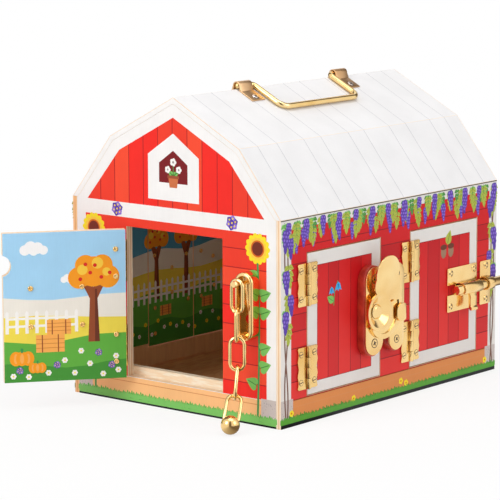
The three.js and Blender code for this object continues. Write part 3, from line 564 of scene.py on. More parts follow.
def pumpkin(p, u, v, radius, layer):
    for i, du in enumerate((-0.62, 0.62, 0)):
        p.disc(u + du * radius, v, radius * 0.62, "crown", layer + i * 0.7, 18, 1.2)
        p.disc(u + du * radius, v, radius * 0.2, "straw", layer + i * 0.7 + 0.4, 12, 2.6)
    p.box(u - radius * 0.12, v + radius * 0.6, u + radius * 0.14, v + radius * 1.05, "stem", layer + 2.4)


def blossom(p, u, v, radius, petals, colour, eye, layer, turn=0.0):
    """A round flower with petal lobes and an eye"""
    p.area(lobed(u, v, radius, petals, 0.2, petals * 6, turn), colour, layer)
    p.disc(u, v, radius * 0.3, eye, layer + 0.3, 12)


def daisy(p, u, v, radius, layer):
    """A yellow flower of two rings of short petals round a dark eye in an orange ring"""
    p.area(lobed(u, v, radius, 14, 0.13, 112), "petal_yellow", layer)
    p.area(lobed(u, v, radius * 0.74, 14, 0.13, 112, start=0.11), "crown_light", layer + 1)
    p.disc(u, v, radius * 0.54, "flower_eye", layer + 2, 28)
    p.disc(u, v, radius * 0.44, "eye_deep", layer + 3, 24)


def leaf_outline(count=9):
    """A pointed leaf of unit length from its stalk at the origin"""
    upper = [(i / count, 0.34 * math.sin(math.pi * (i / count) ** 0.7)) for i in range(count + 1)]
    return upper[::-1] + [(u, -v) for u, v in upper[1:-1]]


def leaf(p, u, v, length, turn, layer, colour="leaf"):
    p.area(placed(leaf_outline(), u, v, length, turn), colour, layer)
    p.line(placed([(0.1, 0), (0.85, 0)], u, v, length, turn), length * 0.06, colour + "_deep", layer + 1)


def heart_leaf(p, u, v, length, turn, layer):
    """A broad leaf with two lobes at its stalk, a point at its tip and a dark rib"""
    upper = ((0.1, 0.0), (0.0, 0.16), (0.02, 0.32), (0.16, 0.44), (0.36, 0.42), (0.58, 0.3), (0.8, 0.15), (1.0, 0.0))
    outline = [*upper, *((a, -b) for a, b in upper[-2:0:-1])]
    p.area(placed(outline, u, v, length, turn), "leaf", layer)
    p.line(placed([(0, 0), (0.8, 0)], u, v, length, turn), length * 0.06, "leaf_deep", layer + 1.5)


def posy(p, u, v, size, layer):
    """A round bunch of small violet flowers"""
    for i in range(7):
        angle = 2 * math.pi * i / 6 + 0.3
        reach = 0 if i == 6 else size * 0.62
        at = (u + reach * math.cos(angle), v + reach * math.sin(angle))
        colour = "violet_light" if i % 2 else "violet"
        blossom(p, *at, size * 0.46, 5, colour, "petal_yellow", layer + i * 0.5, angle)


def flower_pot(p, u, v, width, layer):
    foot, top, height = width * 0.34, width * 0.46, width * 0.8
    p.area([(u - foot, v), (u + foot, v), (u + top, v + height), (u - top, v + height)], "pot", layer)
    p.box(u - width * 0.52, v + height * 0.8, u + width * 0.52, v + height * 1.05, "pot_deep", layer + 1)


def bellflower(p, u, v, size, layer):
    """A stalk with two blue bells and a leaf"""
    p.line([(u, v - size), (u + size * 0.1, v), (u + size * 0.5, v + size * 0.8)], size * 0.09, "stem", layer)
    leaf(p, u, v - size * 0.7, size * 0.9, 150, layer)
    bell = [(-0.45, 0), (-0.8, -1), (-0.3, -0.75), (0, -1.1), (0.3, -0.75), (0.8, -1), (0.45, 0), (0, 0.35)]
    for du, dv, r in ((0.55, 0.55, 0.5), (-0.25, 0.3, 0.42)):
        at = (u + du * size, v + dv * size, r * size)
        p.area(placed(bell, *at), "bell_blue", layer + 1)
        p.area(placed([(-0.2, 0), (0, -0.8), (0.2, 0)], *at), "bell_blue_deep", layer + 2)


def acorns(p, u, v, size, layer):
    for side in (-1, 1):
        cu = u + side * size * 0.45
        p.disc(cu, v, size * 0.34, "acorn", layer, 14, 1.35)
        p.disc(cu, v + size * 0.36, size * 0.4, "bark_deep", layer + 1, 14, 0.5)
    leaf(p, u, v + size * 0.5, size * 1.1, 70, layer, "olive")


def meadow_scene(p, u0, v0, u1, v1, seed):
    """Plain countryside on an inner face: fields, trees, a fence and hay bales, under a darker sky that is painted
    shade of the barn's inside
    """
    rng = random.Random(seed)
    tall, width = v1 - v0, u1 - u0
    p.box(u0, v0, u1, v1, "mural_sky", 2)
    rolling(p, u0, u1, v0, v0 + tall * 0.57, 2.5, width / 95, "far_field", 3, 1.0)
    rolling(p, u0, u1, v0, v0 + tall * 0.44, 2.2, width / 120, "corn", 4, 2.4)
    rolling(p, u0, u1, v0, v0 + tall * 0.3, 3.0, width / 80, "meadow", 5, 0.4)
    rolling(p, u0, u1, v0, v0 + tall * 0.126, 2.4, width / 60, "meadow_deep", 6, 2.0)
    count = max(int(width / 62), 1)
    for i in range(count):
        u = u0 + width * (i + 0.5) / count
        cloud(p, u + rng.uniform(-8, 8), v0 + tall * rng.uniform(0.8, 0.9), 7, 4)
        round_tree(p, u + rng.uniform(-12, 12), v0 + tall * 0.27, tall * 0.55, 18, 8)
        hay_bale(p, u + rng.uniform(16, 24), v0 + tall * 0.16, 16, 12)
    fence(p, u0 + 2, u1 - 2, v0 + tall * 0.25, tall * 0.13, 14)
    for i in range(int(width / 9)):
        at = (u0 + 4 + 9 * i, v0 + tall * rng.uniform(0.04, 0.14))
        blossom(p, *at, 2.2, 5, ("petal_white", "petal_yellow")[i % 2], "flower_eye", 17)


# Prints of the walls and their doors


def wall_windows(doorways, low=0, high=PRINT_TOP, reach=HALF_LENGTH):
    """The parts of a wall's face round its doorways"""
    windows = []
    at = -reach
    for u0, v0, u1, v1 in doorways:
        windows += [box(at, low, u0, high), box(u0, v1, u1, high)]
        if v0 > low:
            windows.append(box(u0, low, u1, v0))
        at = u1
    return [*windows, box(at, low, reach, high)]


def foundation(p, half, plank, low_line, dark, blades):
    """Planks over stones at the corners, a strip of grass and, along the foot of the wall, a dark line of painted
    contact shadow
    """
    p.box(-half, 5, half, 23.6, plank, 2)
    p.box(-half, low_line - 0.35, half, low_line + 0.35, "plank_line", 3)
    rng = random.Random(5)
    for side in (-1, 1):
        low, high = sorted((side * half, side * (half - 17)))
        p.box(low, 5, high, 25, "stone", 3.5)
        for _ in range(26):
            u = rng.uniform(low + 1, high - 1)
            p.disc(u, rng.uniform(8, 24), rng.uniform(0.2, 0.5), "stone_speck", 4 + rng.random() * 0.4, 6)
    p.box(-half, 0, half, 6.4, blades, 5)
    # Painted shadow: a near-black strip where the wall meets the floor, as high as the dark argument
    p.box(-half, 0.05, half, dark, "base_line", 10)


def flower_stem(p, side, top):
    """A tall stem with broad leaves on alternate sides and a yellow flower on it"""
    u = side * 97
    p.line([(u, 8), (u + 1.6, 60), (u + side * 1.5, (60 + top) / 2), (u, top - 12)], 2.1, "stem", 6)
    for i, v in enumerate(range(36, top - 25, 16)):
        reach = side if i % 3 else -side
        heart_leaf(p, u + 0.8 + reach * 1.6, v, 13.4, 90 - reach * 70, 7 + i * OVERLAP)
    daisy(p, u, top, 14, 10)


def gable_print(name, face, lower, sill):
    """Upright boards in the upper field and level boards in the lower one, with white trim and a loft window"""
    eave, knee, ridge = roof_profile(ROOF_BOARD + SEAT_GAP)
    upper = [(-eave[0], PRINT_TOP), (eave[0], PRINT_TOP), knee, ridge, (-knee[0], knee[1])]
    p = Print(name, face, [*lower, upper])
    p.box(-118, 0, 118, 290, "trim_white", 1)
    tones = ("barn_red", "bright_red", "barn_red", "warm_red", "bright_red")
    field = [(-104.5, 184.5), (104.5, 184.5), (65, 232), (0, 266), (-65, 232)]
    starts = {i: -1 + 17.4 * i for i in range(-6, 7)}
    for i, u in starts.items():
        p.area(clipped(box(u, 180, u + 17.4, 270), field), tones[(i * 3) % 5], 2)
    for u in starts.values():
        p.area(clipped(box(u - 0.45, 180, u + 0.45, 270), field), "groove_red", 3)
    levels = [24, 37, 54, 71, 88, 105, 122, 139, 156, 171]
    for i, (low, high) in enumerate(zip(levels, levels[1:])):
        p.box(-107, low, 107, high, tones[(i * 2 + 1) % 5], 2)
        if i:
            p.box(-107, low - 0.45, 107, low + 0.45, "groove_red", 3)
    p.area([(-30, 191), (30, 191), (30, 231.5), (0, 251.7), (-30, 231.5)], "trim_white", 4)
    p.area([(-16.8, sill), (16.8, sill), (16.8, 224.5), (0, 236.4), (-16.8, 224.5)], "loft_red", 5)
    return p


def gable_foot(p, stem_top):
    foundation(p, GABLE_HALF, "plank", 19, 1.7, "grass")
    for side in (-1, 1):
        flower_stem(p, side, stem_top)


def gable_prints():
    half = GABLE_HALF
    u0, v0, u1, v1 = FRONT_DOORWAY
    p = gable_print("front_wall_print", front, [
        box(-half, 0, u0, v1), box(u1, 0, half, v1), box(u0, 0, u1, v0), box(-half, v1, half, PRINT_TOP),
    ], 207)
    flower_pot(p, 0, 203, 13, 6)
    for u, v, reach in ((-6.5, 219, 3.4), (6.5, 219.5, 3.4), (0, 226, 3.8)):
        p.line([(0, 213), (u, v)], 0.8, "stem", 6)
        blossom(p, u, v, reach, 5, "petal_white", "stone_speck", 8)
    for turn in (150, 28):
        leaf(p, 0, 214, 7, turn, 6)
    gable_foot(p, 158)
    for u, turn in ((-72, 20), (-65, 160), (72, 160), (65, 20)):
        leaf(p, u, 178, 9, turn, 4)
    posy(p, 68, 178, 6.4, 7)
    posy(p, -68, 178, 6.4, 7)
    p.finish()
    p = gable_print("back_wall_print", back, [box(-half, 0, half, PRINT_TOP)], 200)
    hay_bale(p, 0, 200, 24, 6)
    gable_foot(p, 112)
    p.finish()


def side_wall_print(name, face, doorways):
    p = Print(name, face, wall_windows(doorways))
    # The side trim is the greyer copy of the trim white: painted shade
    p.box(-165, 0, 165, 185, "side_trim", 1)
    levels = [23, 39.7, 54.6, 69.6, 84.6, 99.6, 114.6, 129.6, 144.6, 159.6, 176]
    tones = ("side_red", "side_red_deep", "side_red")
    for i, (low, high) in enumerate(zip(levels, levels[1:])):
        p.box(-150.7, low, 152.7, high, tones[i % 3], 2)
        if i:
            p.box(-150.7, low - 0.4, 152.7, low + 0.4, "side_groove", 3)
    foundation(p, HALF_LENGTH, "side_plank", 17, 3.3, "side_grass")
    p.box(-165, 184, 165, PRINT_TOP, "eave_shadow", 9)
    for u, v in ((-150, 12), (12, 14), (20, 11), (148, 12), (-60, 10)):
        blossom(p, u, v, 3.2, 5, "petal_yellow", "flower_eye", 7)
    p.finish()


def board_door(p, outer, inner, lines, tones=("side_red", "side_red_deep"), frame_ink="side_trim"):
    """A white frame round upright red boards"""
    p.box(*outer, frame_ink, 1)
    u0, v0, u1, v1 = inner
    edges = [u0, *lines, u1]
    for i, (a, b) in enumerate(zip(edges, edges[1:])):
        p.box(a, v0, b, v1, tones[i % 2], 2)
        if i:
            p.box(a - 0.35, v0, a + 0.35, v1, "side_groove", 3)
    for edge in ((u0, v0, u1, v0 + 0.5), (u0, v1 - 0.5, u1, v1), (u0, v0, u0 + 0.5, v1), (u1 - 0.5, v0, u1, v1)):
        p.box(*edge, "side_groove", 3.4)


def side_prints():
    side_wall_print("right_wall_print", right, RIGHT_DOORWAYS)
    side_door_prints(1)
    u0, v0, u1, v1 = PAIR_DOORWAY
    side_wall_print("left_wall_print", left, [(-u1, v0, -u0, v1)])
    windows = wall_windows([PAIR_DOORWAY], MURAL[1], MURAL[3], MURAL[2])
    wall = Print("left_wall_mural", side_face("barn", -1, SIDE_WALL), windows)
    meadow_scene(wall, *MURAL, 21)
    wall.finish()
    side_door_prints(-1)


def side_door_prints(side):
    for i, (body, outer, inner, lines) in enumerate(SIDE_DOORS[side]):
        p = Print(body + "_print", side_face(body, side), [box(*outer)])
        board_door(p, outer, inner, lines)
        if body == "right_front_door":
            bellflower(p, -90, 112, 12, 4)
        if body == "right_rear_door":
            acorns(p, 84, 126, 13, 4)
        p.finish()
        u0, v0, u1, v1 = outer
        p = Print(body + "_inner_print", side_face(body, side, SIDE_WALL), [box(-u1, v0, -u0, v1)])
        if side > 0:
            meadow_scene(p, -u1, v0, -u0, v1, 3 + i)
        else:
            meadow_scene(p, *MURAL, 21)
            p.box(-u1, v0, -u0, MURAL[1] + 2, "meadow_deep", 7)
        p.finish()


def notch_outline(centre, side):
    """The bite out of the front door's free edge, from its foot to its top"""
    reach = math.acos(2.4 / NOTCH_RADIUS)
    turns = [reach * (i / 6 - 1) for i in range(13)]
    return [(centre + side * NOTCH_RADIUS * math.cos(t), 132.2 + NOTCH_RADIUS * math.sin(t)) for t in turns]


def front_door_prints():
    low, high, width = DOOR_LOW, DOOR_HIGH, 111.6
    bite = notch_outline(-2.4, 1)
    edge = Print("front_door_picture_edge", door_inner, [box(-1, 100, NOTCH_WIDTH, high)])
    corner = [(NOTCH_WIDTH, NOTCH_LOW), (NOTCH_WIDTH, NOTCH_HIGH), (0, NOTCH_HIGH)]
    edge.area([*corner, *bite[::-1], (0, NOTCH_LOW)], "sky", 2)
    edge.finish()
    p = Print("front_door_picture", door_inner, [
        box(0, low, width, NOTCH_LOW), box(NOTCH_WIDTH, NOTCH_LOW, width, high), box(0, NOTCH_HIGH, NOTCH_WIDTH, high),
    ])
    p.box(0, low, width, high, "sky", 2)
    rolling(p, 0, width, low, 102, 2.2, 0.9, "far_field", 3, 2.6)
    rolling(p, 0, width, low, 84, 2.0, 0.7, "corn", 4, 0.5)
    rolling(p, 0, width, low, 64, 4.0, 0.8, "meadow", 5, 3.4)
    rolling(p, 0, width, low, 40, 3.0, 1.1, "meadow_deep", 6, 1.0)
    cloud(p, 28, 146, 8, 4)
    cloud(p, 60, 118, 5, 4)
    round_tree(p, 82, 60, 88, 24, 8)
    fence(p, 3, 66, 70, 19, 7)
    hay_bale(p, 42, 52, 26, 12)
    hay_bale(p, 50, 68.2, 22, 15)
    pumpkin(p, 16, 47, 9, 13)
    pumpkin(p, 30, 38, 6.5, 13)
    for u, v in ((8, 31), (22, 30), (40, 33), (55, 44), (64, 32), (78, 40), (90, 30), (102, 46), (104, 33), (70, 52)):
        blossom(p, u, v, 2.8, 6, "petal_white", "petal_yellow", 15)
    for u, v in ((48, 40), (86, 50), (98, 38), (14, 36)):
        posy(p, u, v, 3.2, 18)
    p.finish()

    start, inset = 1.2, DOOR_EDGE - NOTCH_WIDTH
    p = Print("front_door_print", door_outer, [
        box(start, low, DOOR_EDGE, NOTCH_LOW), box(start, NOTCH_LOW, inset, high),
        box(inset, NOTCH_HIGH, DOOR_EDGE, high),
    ])
    outer, inner = (start, low, DOOR_EDGE, high), (14, 38, 100, 149)
    board_door(p, outer, inner, (31.2, 48.4, 65.6, 82.8), ("barn_red", "bright_red"), "trim_white")
    p.finish()
    edge = Print("front_door_print_edge", door_outer, [box(inset, 100, DOOR_EDGE + 1, high)])
    corners = [(DOOR_EDGE, NOTCH_HIGH), (inset, NOTCH_HIGH), (inset, NOTCH_LOW), (DOOR_EDGE, NOTCH_LOW)]
    edge.area([*corners, *notch_outline(DOOR_EDGE + 2.4, -1)], "trim_white", 1)
    edge.finish()


def roof_prints():
    outer, inner, band = (roof_profile(inset) for inset in (0, ROOF_BOARD, 0.7))
    joints = (-139.5, -112.5, -74.3, -49.5, -8.8, 14.8, 54.1, 80.1, 118.6, 142.8)
    for side, name in ((1, "right"), (-1, "left")):
        for part, a, b in (("lower", *PROFILE[:2]), ("upper", *PROFILE[1:])):
            size = math.dist(a, b)
            face = Face("barn", (side * a[0], 0, a[1]), (0, side, 0), (side * (b[0] - a[0]), 0, b[1] - a[1]))
            p = Print(f"roof_{name}_{part}_boards", face, [box(-165, 0.3, 165, size - 0.1)])
            p.box(-165, 0, 165, size, "roof_white", 1)
            for at in joints:
                p.box(side * at - 0.3, 0, side * at + 0.3, size, "roof_line", 2)
            p.box(-165, 0, -164.4, size, "roof_edge", 2)
            p.box(164.4, 0, 165, size, "roof_edge", 2)
            p.finish("white_board")
    for name, face in (("front", front), ("rear", back)):
        p = Print(f"roof_{name}_edge", face, [box(-124, 180, 124, 290)])
        for side, i in ((1, 0), (1, 1), (-1, 0), (-1, 1)):
            for near, colour, layer in ((inner, "trim_white", 1), (band, "roof_edge", 2)):
                quad = [outer[i], outer[i + 1], near[i + 1], near[i]]
                p.area([(side * x, z) for x, z in quad], colour, layer)
        p.finish("white_board")


# What repeats along a line or on a face


class Growth(Nodes):
    """A geometry node tree that sets an object on points and gives it a finish"""

    def __init__(self, name, inputs):
        super().__init__(bpy.data.node_groups.new(name, "GeometryNodeTree"))
        sockets = self.tree.interface
        for label, kind in {"Geometry": "Geometry", **inputs, "Seed": "Int", "Finish": "Material"}.items():
            sockets.new_socket(label, in_out="INPUT", socket_type="NodeSocket" + kind)
        sockets.new_socket("Geometry", in_out="OUTPUT", socket_type="NodeSocketGeometry")
        self.start = self.add("NodeGroupInput").outputs
        self.end = self.add("NodeGroupOutput").inputs

    def random(self, low, high):
        node = self.add("FunctionNodeRandomValue", data_type="FLOAT")
        live = {socket.name: socket for socket in node.inputs if socket.enabled}
        for label, value in (("Min", low), ("Max", high), ("Seed", self.start["Seed"])):
            self.feed(live[label], value)
        return next(socket for socket in node.outputs if socket.enabled)

    def sway(self, limit):
        """A random angle up to a limit on either side"""
        return self.random(self.maths("MULTIPLY", limit, -1.0), limit)

    def aimed(self, inputs, axis, **settings):
        return self.add("FunctionNodeAlignRotationToVector", inputs, axis=axis, **settings).outputs[0]

    def close(self, points, thing, aim, angle, size, rise):
        """An object on every point, aimed, spun by an angle, scaled, made real and coated"""
        source = self.add("GeometryNodeObjectInfo", {"Object": thing})
        spun = self.add("FunctionNodeAxisAngleToRotation", {"Axis": (0, 0, 1), "Angle": angle})
        turned = self.add("FunctionNodeRotateRotation", {0: aim, 1: spun.outputs[0]}, rotation_space="LOCAL")
        scale = self.add("ShaderNodeCombineXYZ", {"X": size, "Y": size, "Z": rise})
        instances = self.add("GeometryNodeInstanceOnPoints", {
            "Points": points, "Instance": source.outputs["Geometry"],
            "Rotation": turned.outputs[0], "Scale": scale.outputs[0],
        })
        real = self.add("GeometryNodeRealizeInstances", {"Geometry": instances.outputs[0]})
        coated = self.add("GeometryNodeSetMaterial", {"Geometry": real.outputs[0], "Material": self.start["Finish"]})
        self.feed(self.end[0], coated.outputs[0])


def sprig_growth():
    """Flat sprigs along a line: their spacing, lean, spread of turn, size range and thickness"""
    numbers = ("Spacing", "Lean", "Spread", "Smallest", "Largest", "Thickness")
    g = Growth("sprigs_along_line", {"Sprig": "Object", **dict.fromkeys(numbers, "Float")})
    start = g.start
    curve = g.add("GeometryNodeMeshToCurve", {"Mesh": start["Geometry"]})
    even = g.add("GeometryNodeResampleCurve", {"Curve": curve.outputs[0], "Length": start["Spacing"]}, mode="LENGTH")
    aim = g.aimed({"Vector": g.add("GeometryNodeInputTangent").outputs[0]}, "X", pivot_axis="Z")
    angle = g.maths("ADD", start["Lean"], g.sway(start["Spread"]))
    size = g.random(start["Smallest"], start["Largest"])
    rise = g.maths("MULTIPLY", start["Thickness"], g.random(0.97, 1.03))
    g.close(even.outputs[0], start["Sprig"], aim, angle, size, rise)
    return g


def fastener_growth():
    """Screws or rivets on points that carry the way each faces and the way its slot runs"""
    g = Growth("fasteners_on_points", {"Head": "Object", "Size": "Float", "Turn": "Float"})
    start = g.start
    facing, along = (
        g.add("GeometryNodeInputNamedAttribute", {"Name": name}, data_type="FLOAT_VECTOR").outputs[0]
        for name in ("facing", "along")
    )
    aim = g.aimed({"Rotation": g.aimed({"Vector": facing}, "Z"), "Vector": along}, "X", pivot_axis="Z")
    g.close(start["Geometry"], start["Head"], aim, g.sway(start["Turn"]), start["Size"], start["Size"])
    return g


def grown(name, carrier, growth, values):
    """The growth on a carrier mesh, as a plain mesh object"""
    modifier = carrier.modifiers.new(name, "NODES")
    modifier.node_group = growth.tree
    for socket in growth.tree.interface.items_tree:
        if socket.in_out == "INPUT" and socket.name in values:
            modifier[socket.identifier] = values[socket.name]
    mesh = applied(carrier)
    bpy.data.objects.remove(carrier)
    return plain_object(name, mesh)


def flat_sprig(name, outlines):
    """Flat closed shapes one unit thick, to be scaled down on their line"""
    b = bmesh.new()
    for i, outline in enumerate(outlines):
        if signed_area(outline) < 0:
            outline = outline[::-1]
        slab(b, ring(b, outline, 0.02), ring(b, outline, 1 - 0.006 * i))
    b.normal_update()
    bmesh.ops.triangulate(b, faces=b.faces[:])
    return built(name, b)


def bunch_outline(steps=24):
    """A hanging bunch of round berries of unit length: full near its stalk, tapering to its tip"""
    upper = []
    for i in range(steps + 1):
        u = i / steps
        full = 0.2 * math.sin(math.pi * min(0.16 + 1.1 * u, 1) ** 0.9) ** 0.8 if u < 0.62 else 0.2 * (1.06 - u) / 0.62
        upper.append((u, full + 0.035 * abs(math.sin(math.pi * 4 * u)) + 0.004))
    return upper + [(u, -v) for u, v in reversed(upper)]


# Where each leaflet of a hanging twig starts, its length and its turn
LEAFLETS = [(u, size, side * turn) for u, size, turn in ((0.1, 0.34, 62), (0.32, 0.34, 50), (0.53, 0.3, 42))
            for side in (1, -1)]
VEIN = [(0.02, -0.03), (0.8, -0.02), (0.8, 0.02), (0.02, 0.03)]
BERRY_LIGHTS = ((0.1, -0.08), (0.12, 0.1), (0.25, -0.15), (0.27, 0.02), (0.3, 0.17), (0.42, -0.09), (0.45, 0.09),
                (0.58, -0.06), (0.62, 0.07), (0.76, 0.0), (0.9, 0.01))
# Three broad rounded blades of grass on one foot
TUFT = [(0.54, -0.5), (0.54, 0.1), (0.5, 0.44), (0.36, 0.62), (0.22, 0.5), (0.14, 0.22), (0.08, 0.7), (-0.07, 0.84),
        (-0.2, 0.62), (-0.24, 0.2), (-0.34, 0.46), (-0.47, 0.44), (-0.56, 0.2), (-0.56, -0.5)]

growing = sprig_growth()
sprigs = {name: flat_sprig(name, outlines) for name, outlines in (
    ("twig", [placed(leaf_outline(6), u, 0, size, turn) for u, size, turn in (*LEAFLETS, (0.68, 0.34, 0))]),
    ("twig_lines", [
        [(0, -0.012), (0.95, -0.006), (0.95, 0.006), (0, 0.012)],
        *(placed(VEIN, u, 0, size, turn) for u, size, turn in LEAFLETS),
    ]),
    ("bunch", [bunch_outline()]),
    ("bunch_lights", [circle(u, v, 0.055, 8) for u, v in BERRY_LIGHTS]),
    ("tuft", [TUFT]),
)}


def sprigs_along(name, face, points, sprig, colour, spacing, lean, spread, sizes, layer, seed):
    line = meshed("line", [(u * MM, v * MM, 0) for u, v in points], [(i, i + 1) for i in range(len(points) - 1)])
    made = grown(name, line, growing, {
        "Sprig": sprigs[sprig], "Spacing": spacing * MM, "Lean": math.radians(lean), "Spread": math.radians(spread),
        "Smallest": sizes[0] * MM, "Largest": sizes[1] * MM, "Thickness": layer * INK_STEP * MM, "Seed": seed,
        "Finish": ink(colour),
    })
    made.data.transform(face.place)
    return made


def joined(name, pieces, body):
    """Several meshes as one printed piece that rides on a body"""
    b = bmesh.new()
    finishes = []
    for piece in pieces:
        for material in piece.data.materials:
            if material not in finishes:
                finishes.append(material)
        index = [finishes.index(material) for material in piece.data.materials]
        count = len(b.faces)
        b.from_mesh(piece.data)
        b.faces.ensure_lookup_table()
        for face in b.faces[count:]:
            face.material_index = index[face.material_index]
        bpy.data.objects.remove(piece)
    made = built(name, b)
    for material in finishes:
        made.data.materials.append(material)
    carried(made, body)


def hanging(name, face, run, kind, lean, spacing, sizes, layer, seed):
    """Berry bunches or leafy twigs along a line, each with its lights or veins over it"""
    parts = {
        "bunch": (("bunch", "violet"), ("bunch_lights", "violet_light")),
        "green": (("twig", "leaf"), ("twig_lines", "leaf_deep")),
        "olive": (("twig", "olive"), ("twig_lines", "olive_deep")),
        "deep": (("twig", "leaf_deep"), ("twig_lines", "leaf")),
    }
    return [
        sprigs_along(name, face, run, sprig, colour, spacing, lean, 9, sizes, layer + 0.6 * lift, seed)
        for lift, (sprig, colour) in enumerate(parts[kind])
    ]


def garlands():
    """Berry vines that hang from the eaves and climb the corner trims of both side walls"""
    for name, face in (("right_wall_garland", right), ("left_wall_garland", left)):
        p = Print(name + "_vine", face, [box(-165, 8, 165, 184.4)])
        posts = ((-157.4, 0.4), (158.8, 2.2))
        for centre, phase in posts:
            for turn in (0, 2.6):
                post = [(centre + 2.3 * math.sin(v * 0.052 + phase + turn), v) for v in range(8, 184, 4)]
                p.line(post, 1.7, "vine", 5 + turn * 0.2)
        p.finish()
        pieces = []
        for kind, start, top, spacing, sizes, layer, seed in (
            ("deep", -156, 183.5, 12.0, (13, 17), 4, 3),
            ("bunch", -146, 172, 27.0, (15, 18), 5, 58),
            ("green", -160, 183.5, 17.5, (15, 19), 6, 25),
            ("bunch", -154, 183, 22.6, (16, 20), 8, 36),
            ("olive", -144.5, 182.5, 17.4, (17, 22), 7, 14),
            ("olive", -150, 174, 31.0, (16, 20), 9, 47),
            ("bunch", -133, 176, 47.0, (16, 19), 10, 91),
        ):
            run = [(start, top - 1), (start + 40, top + 0.4), (0, top - 0.6), (90, top + 0.4), (160, top - 0.4)]
            pieces += hanging(name, face, run, kind, -90, spacing, sizes, layer, seed)
        for i, (centre, _) in enumerate(posts):
            side = 1 if centre < 0 else -1
            for kind, shift, low, high, spacing, sizes, layer, seed in (
                ("olive", 2.8, 94, 172, 24.0, (19, 23), 12, 60),
                ("green", -1.6, 106, 176, 29.0, (15, 19), 11, 72),
                ("bunch", -0.6, 104, 176, 31.0, (20, 23), 13, 84),
                ("bunch", 5.6, 118, 168, 33.0, (17, 20), 14, 96),
            ):
                run = [(centre + side * shift, low), (centre + side * shift, high)]
                pieces += hanging(name, face, run, kind, 180, spacing, sizes, layer, seed + i)
        joined(name, pieces, face.body)


def grass():
    """Tufts over the grass strip along the foot of every outer wall"""
    for name, face, half, blades in (
        ("front", front, 116.5, "grass"), ("back", back, 116.5, "grass"),
        ("right", right, 163.5, "side_grass"), ("left", left, 163.5, "side_grass"),
    ):
        joined(name + "_wall_grass", [
            sprigs_along(name, face, [(-half, base), (half, base)], "tuft", colour, spacing, 0, 5, sizes, layer, seed)
            for colour, layer, spacing, base, sizes, seed in (
                (blades + "_deep", 5.6, 5.3, 6.6, (3.6, 5.6), 8), (blades, 7, 3.9, 6.0, (3.2, 5.0), 5),
            )
        ], face.body)


# Screws and rivets

# Places of the slots in a head, each with its turn in degrees
ONE_SLOT = ((0, 0, 0),)
CROSS = ((0, 0, 0), (0, 0, 90))
DOTS = tuple((0.56 * math.cos(math.radians(a)), 0.56 * math.sin(math.radians(a)), a) for a in (90, 210, 330))
# Sides, crown as radius and height, slots, the bar that cuts each, the dark bar of painted shade low in it and the
# countersink's rim, where a ring of painted shadow ends:
# a bar is its length, width, foot and top
HEADS = {
    "rivet": (20, ((1.0, 0.12), (0.9, 0.3), (0.72, 0.4), (0.55, 0.36), (0.46, 0.16), (0.4, 0.02), (0.22, 0.04),
                   (0.1, 0.14), (0, 0.17)), (), None, None, 0),
    "cross": (28, ((1.0, 0.05), (0.93, 0.18), (0.72, 0.28), (0.4, 0.34), (0, 0.36)),
              CROSS, (1.5, 0.4, 0.08, 0.9), (1.2, 0.36, -0.1, 0.3), 1.1),
    "sunk": (28, ((1.0, 0.02), (0.93, 0.055), (0.6, 0.075), (0, 0.085)),
             CROSS, (1.5, 0.4, -0.1, 0.5), (1.2, 0.36, -0.25, 0.065), 1.12),
    "slotted": (24, ((1.0, 0.04), (0.94, 0.11), (0.6, 0.16), (0, 0.18)),
                ONE_SLOT, (2.6, 0.42, 0.0, 0.8), (1.92, 0.38, -0.1, 0.13), 1.12),
    "dotted": (24, ((1.0, 0.06), (0.92, 0.12), (0.5, 0.15), (0, 0.16)),
               DOTS, (0.46, 0.46, -0.05, 0.6), (0.44, 0.44, -0.1, 0.155), 0),
}
HEAD_FOOT = -0.3


def add_bar(b, size, place, grow_low, grow_high):
    """A square bar, with a taper where its two ends differ"""
    length, width, low, high = size
    u, v, turn = place
    ends = box(-length / 2, -width / 2, length / 2, width / 2)
    slab(b, *(ring(b, placed(ends, u, v, grow, turn), z) for grow, z in ((grow_low, low), (grow_high, high))))


def head_of(kind):
    """A head turned from its crown's radii and heights, and cut by a tapered bar for each slot"""
    sides, crown, slots, cut, _, _ = HEADS[kind]
    b = bmesh.new()
    rings = []
    for radius, z in ((0, HEAD_FOOT), (1.0, HEAD_FOOT), *crown):
        rings.append(ring(b, circle(0, 0, radius, sides), z) if radius else ring(b, [(0, 0)], z) * sides)
    for low, high in zip(rings, rings[1:]):
        walls(b, low, high)
    bmesh.ops.recalc_face_normals(b, faces=b.faces[:])
    head = built(kind + "_head", b, True)
    cutters = []
    for place in slots:
        b = bmesh.new()
        add_bar(b, cut, place, 0.7, 1.15)
        cutters.append(built("cutter", b))
        modifier = head.modifiers.new("cut", "BOOLEAN")
        modifier.object = cutters[-1]
        modifier.operation = "DIFFERENCE"
        modifier.solver = "EXACT"
    if cutters:
        mesh = applied(head)
        head.modifiers.clear()
        head.data = mesh
        mesh.set_sharp_from_angle(angle=math.radians(35))
    for cutter in cutters:
        bpy.data.objects.remove(cutter)
    return head


def make_slot_shades(kind):
    """Painted shade: dark floors low in the slots of a head, and a dark ring of painted shadow round its countersink"""
    _, _, slots, _, floor, rim = HEADS[kind]
    b = bmesh.new()
    if rim:
        edge, lip = 0.96, 0.06
        profile = ((rim, HEAD_FOOT), (rim, lip), (edge, lip), (edge, HEAD_FOOT))
        rings = [ring(b, circle(0, 0, radius, 24), z) for radius, z in profile]
        for low, high in zip(rings, rings[1:] + rings[:1]):
            walls(b, low, high)
    for place in slots:
        add_bar(b, floor, place, 1, 1)
    return built(kind + "_recess", b)


fastened = {}


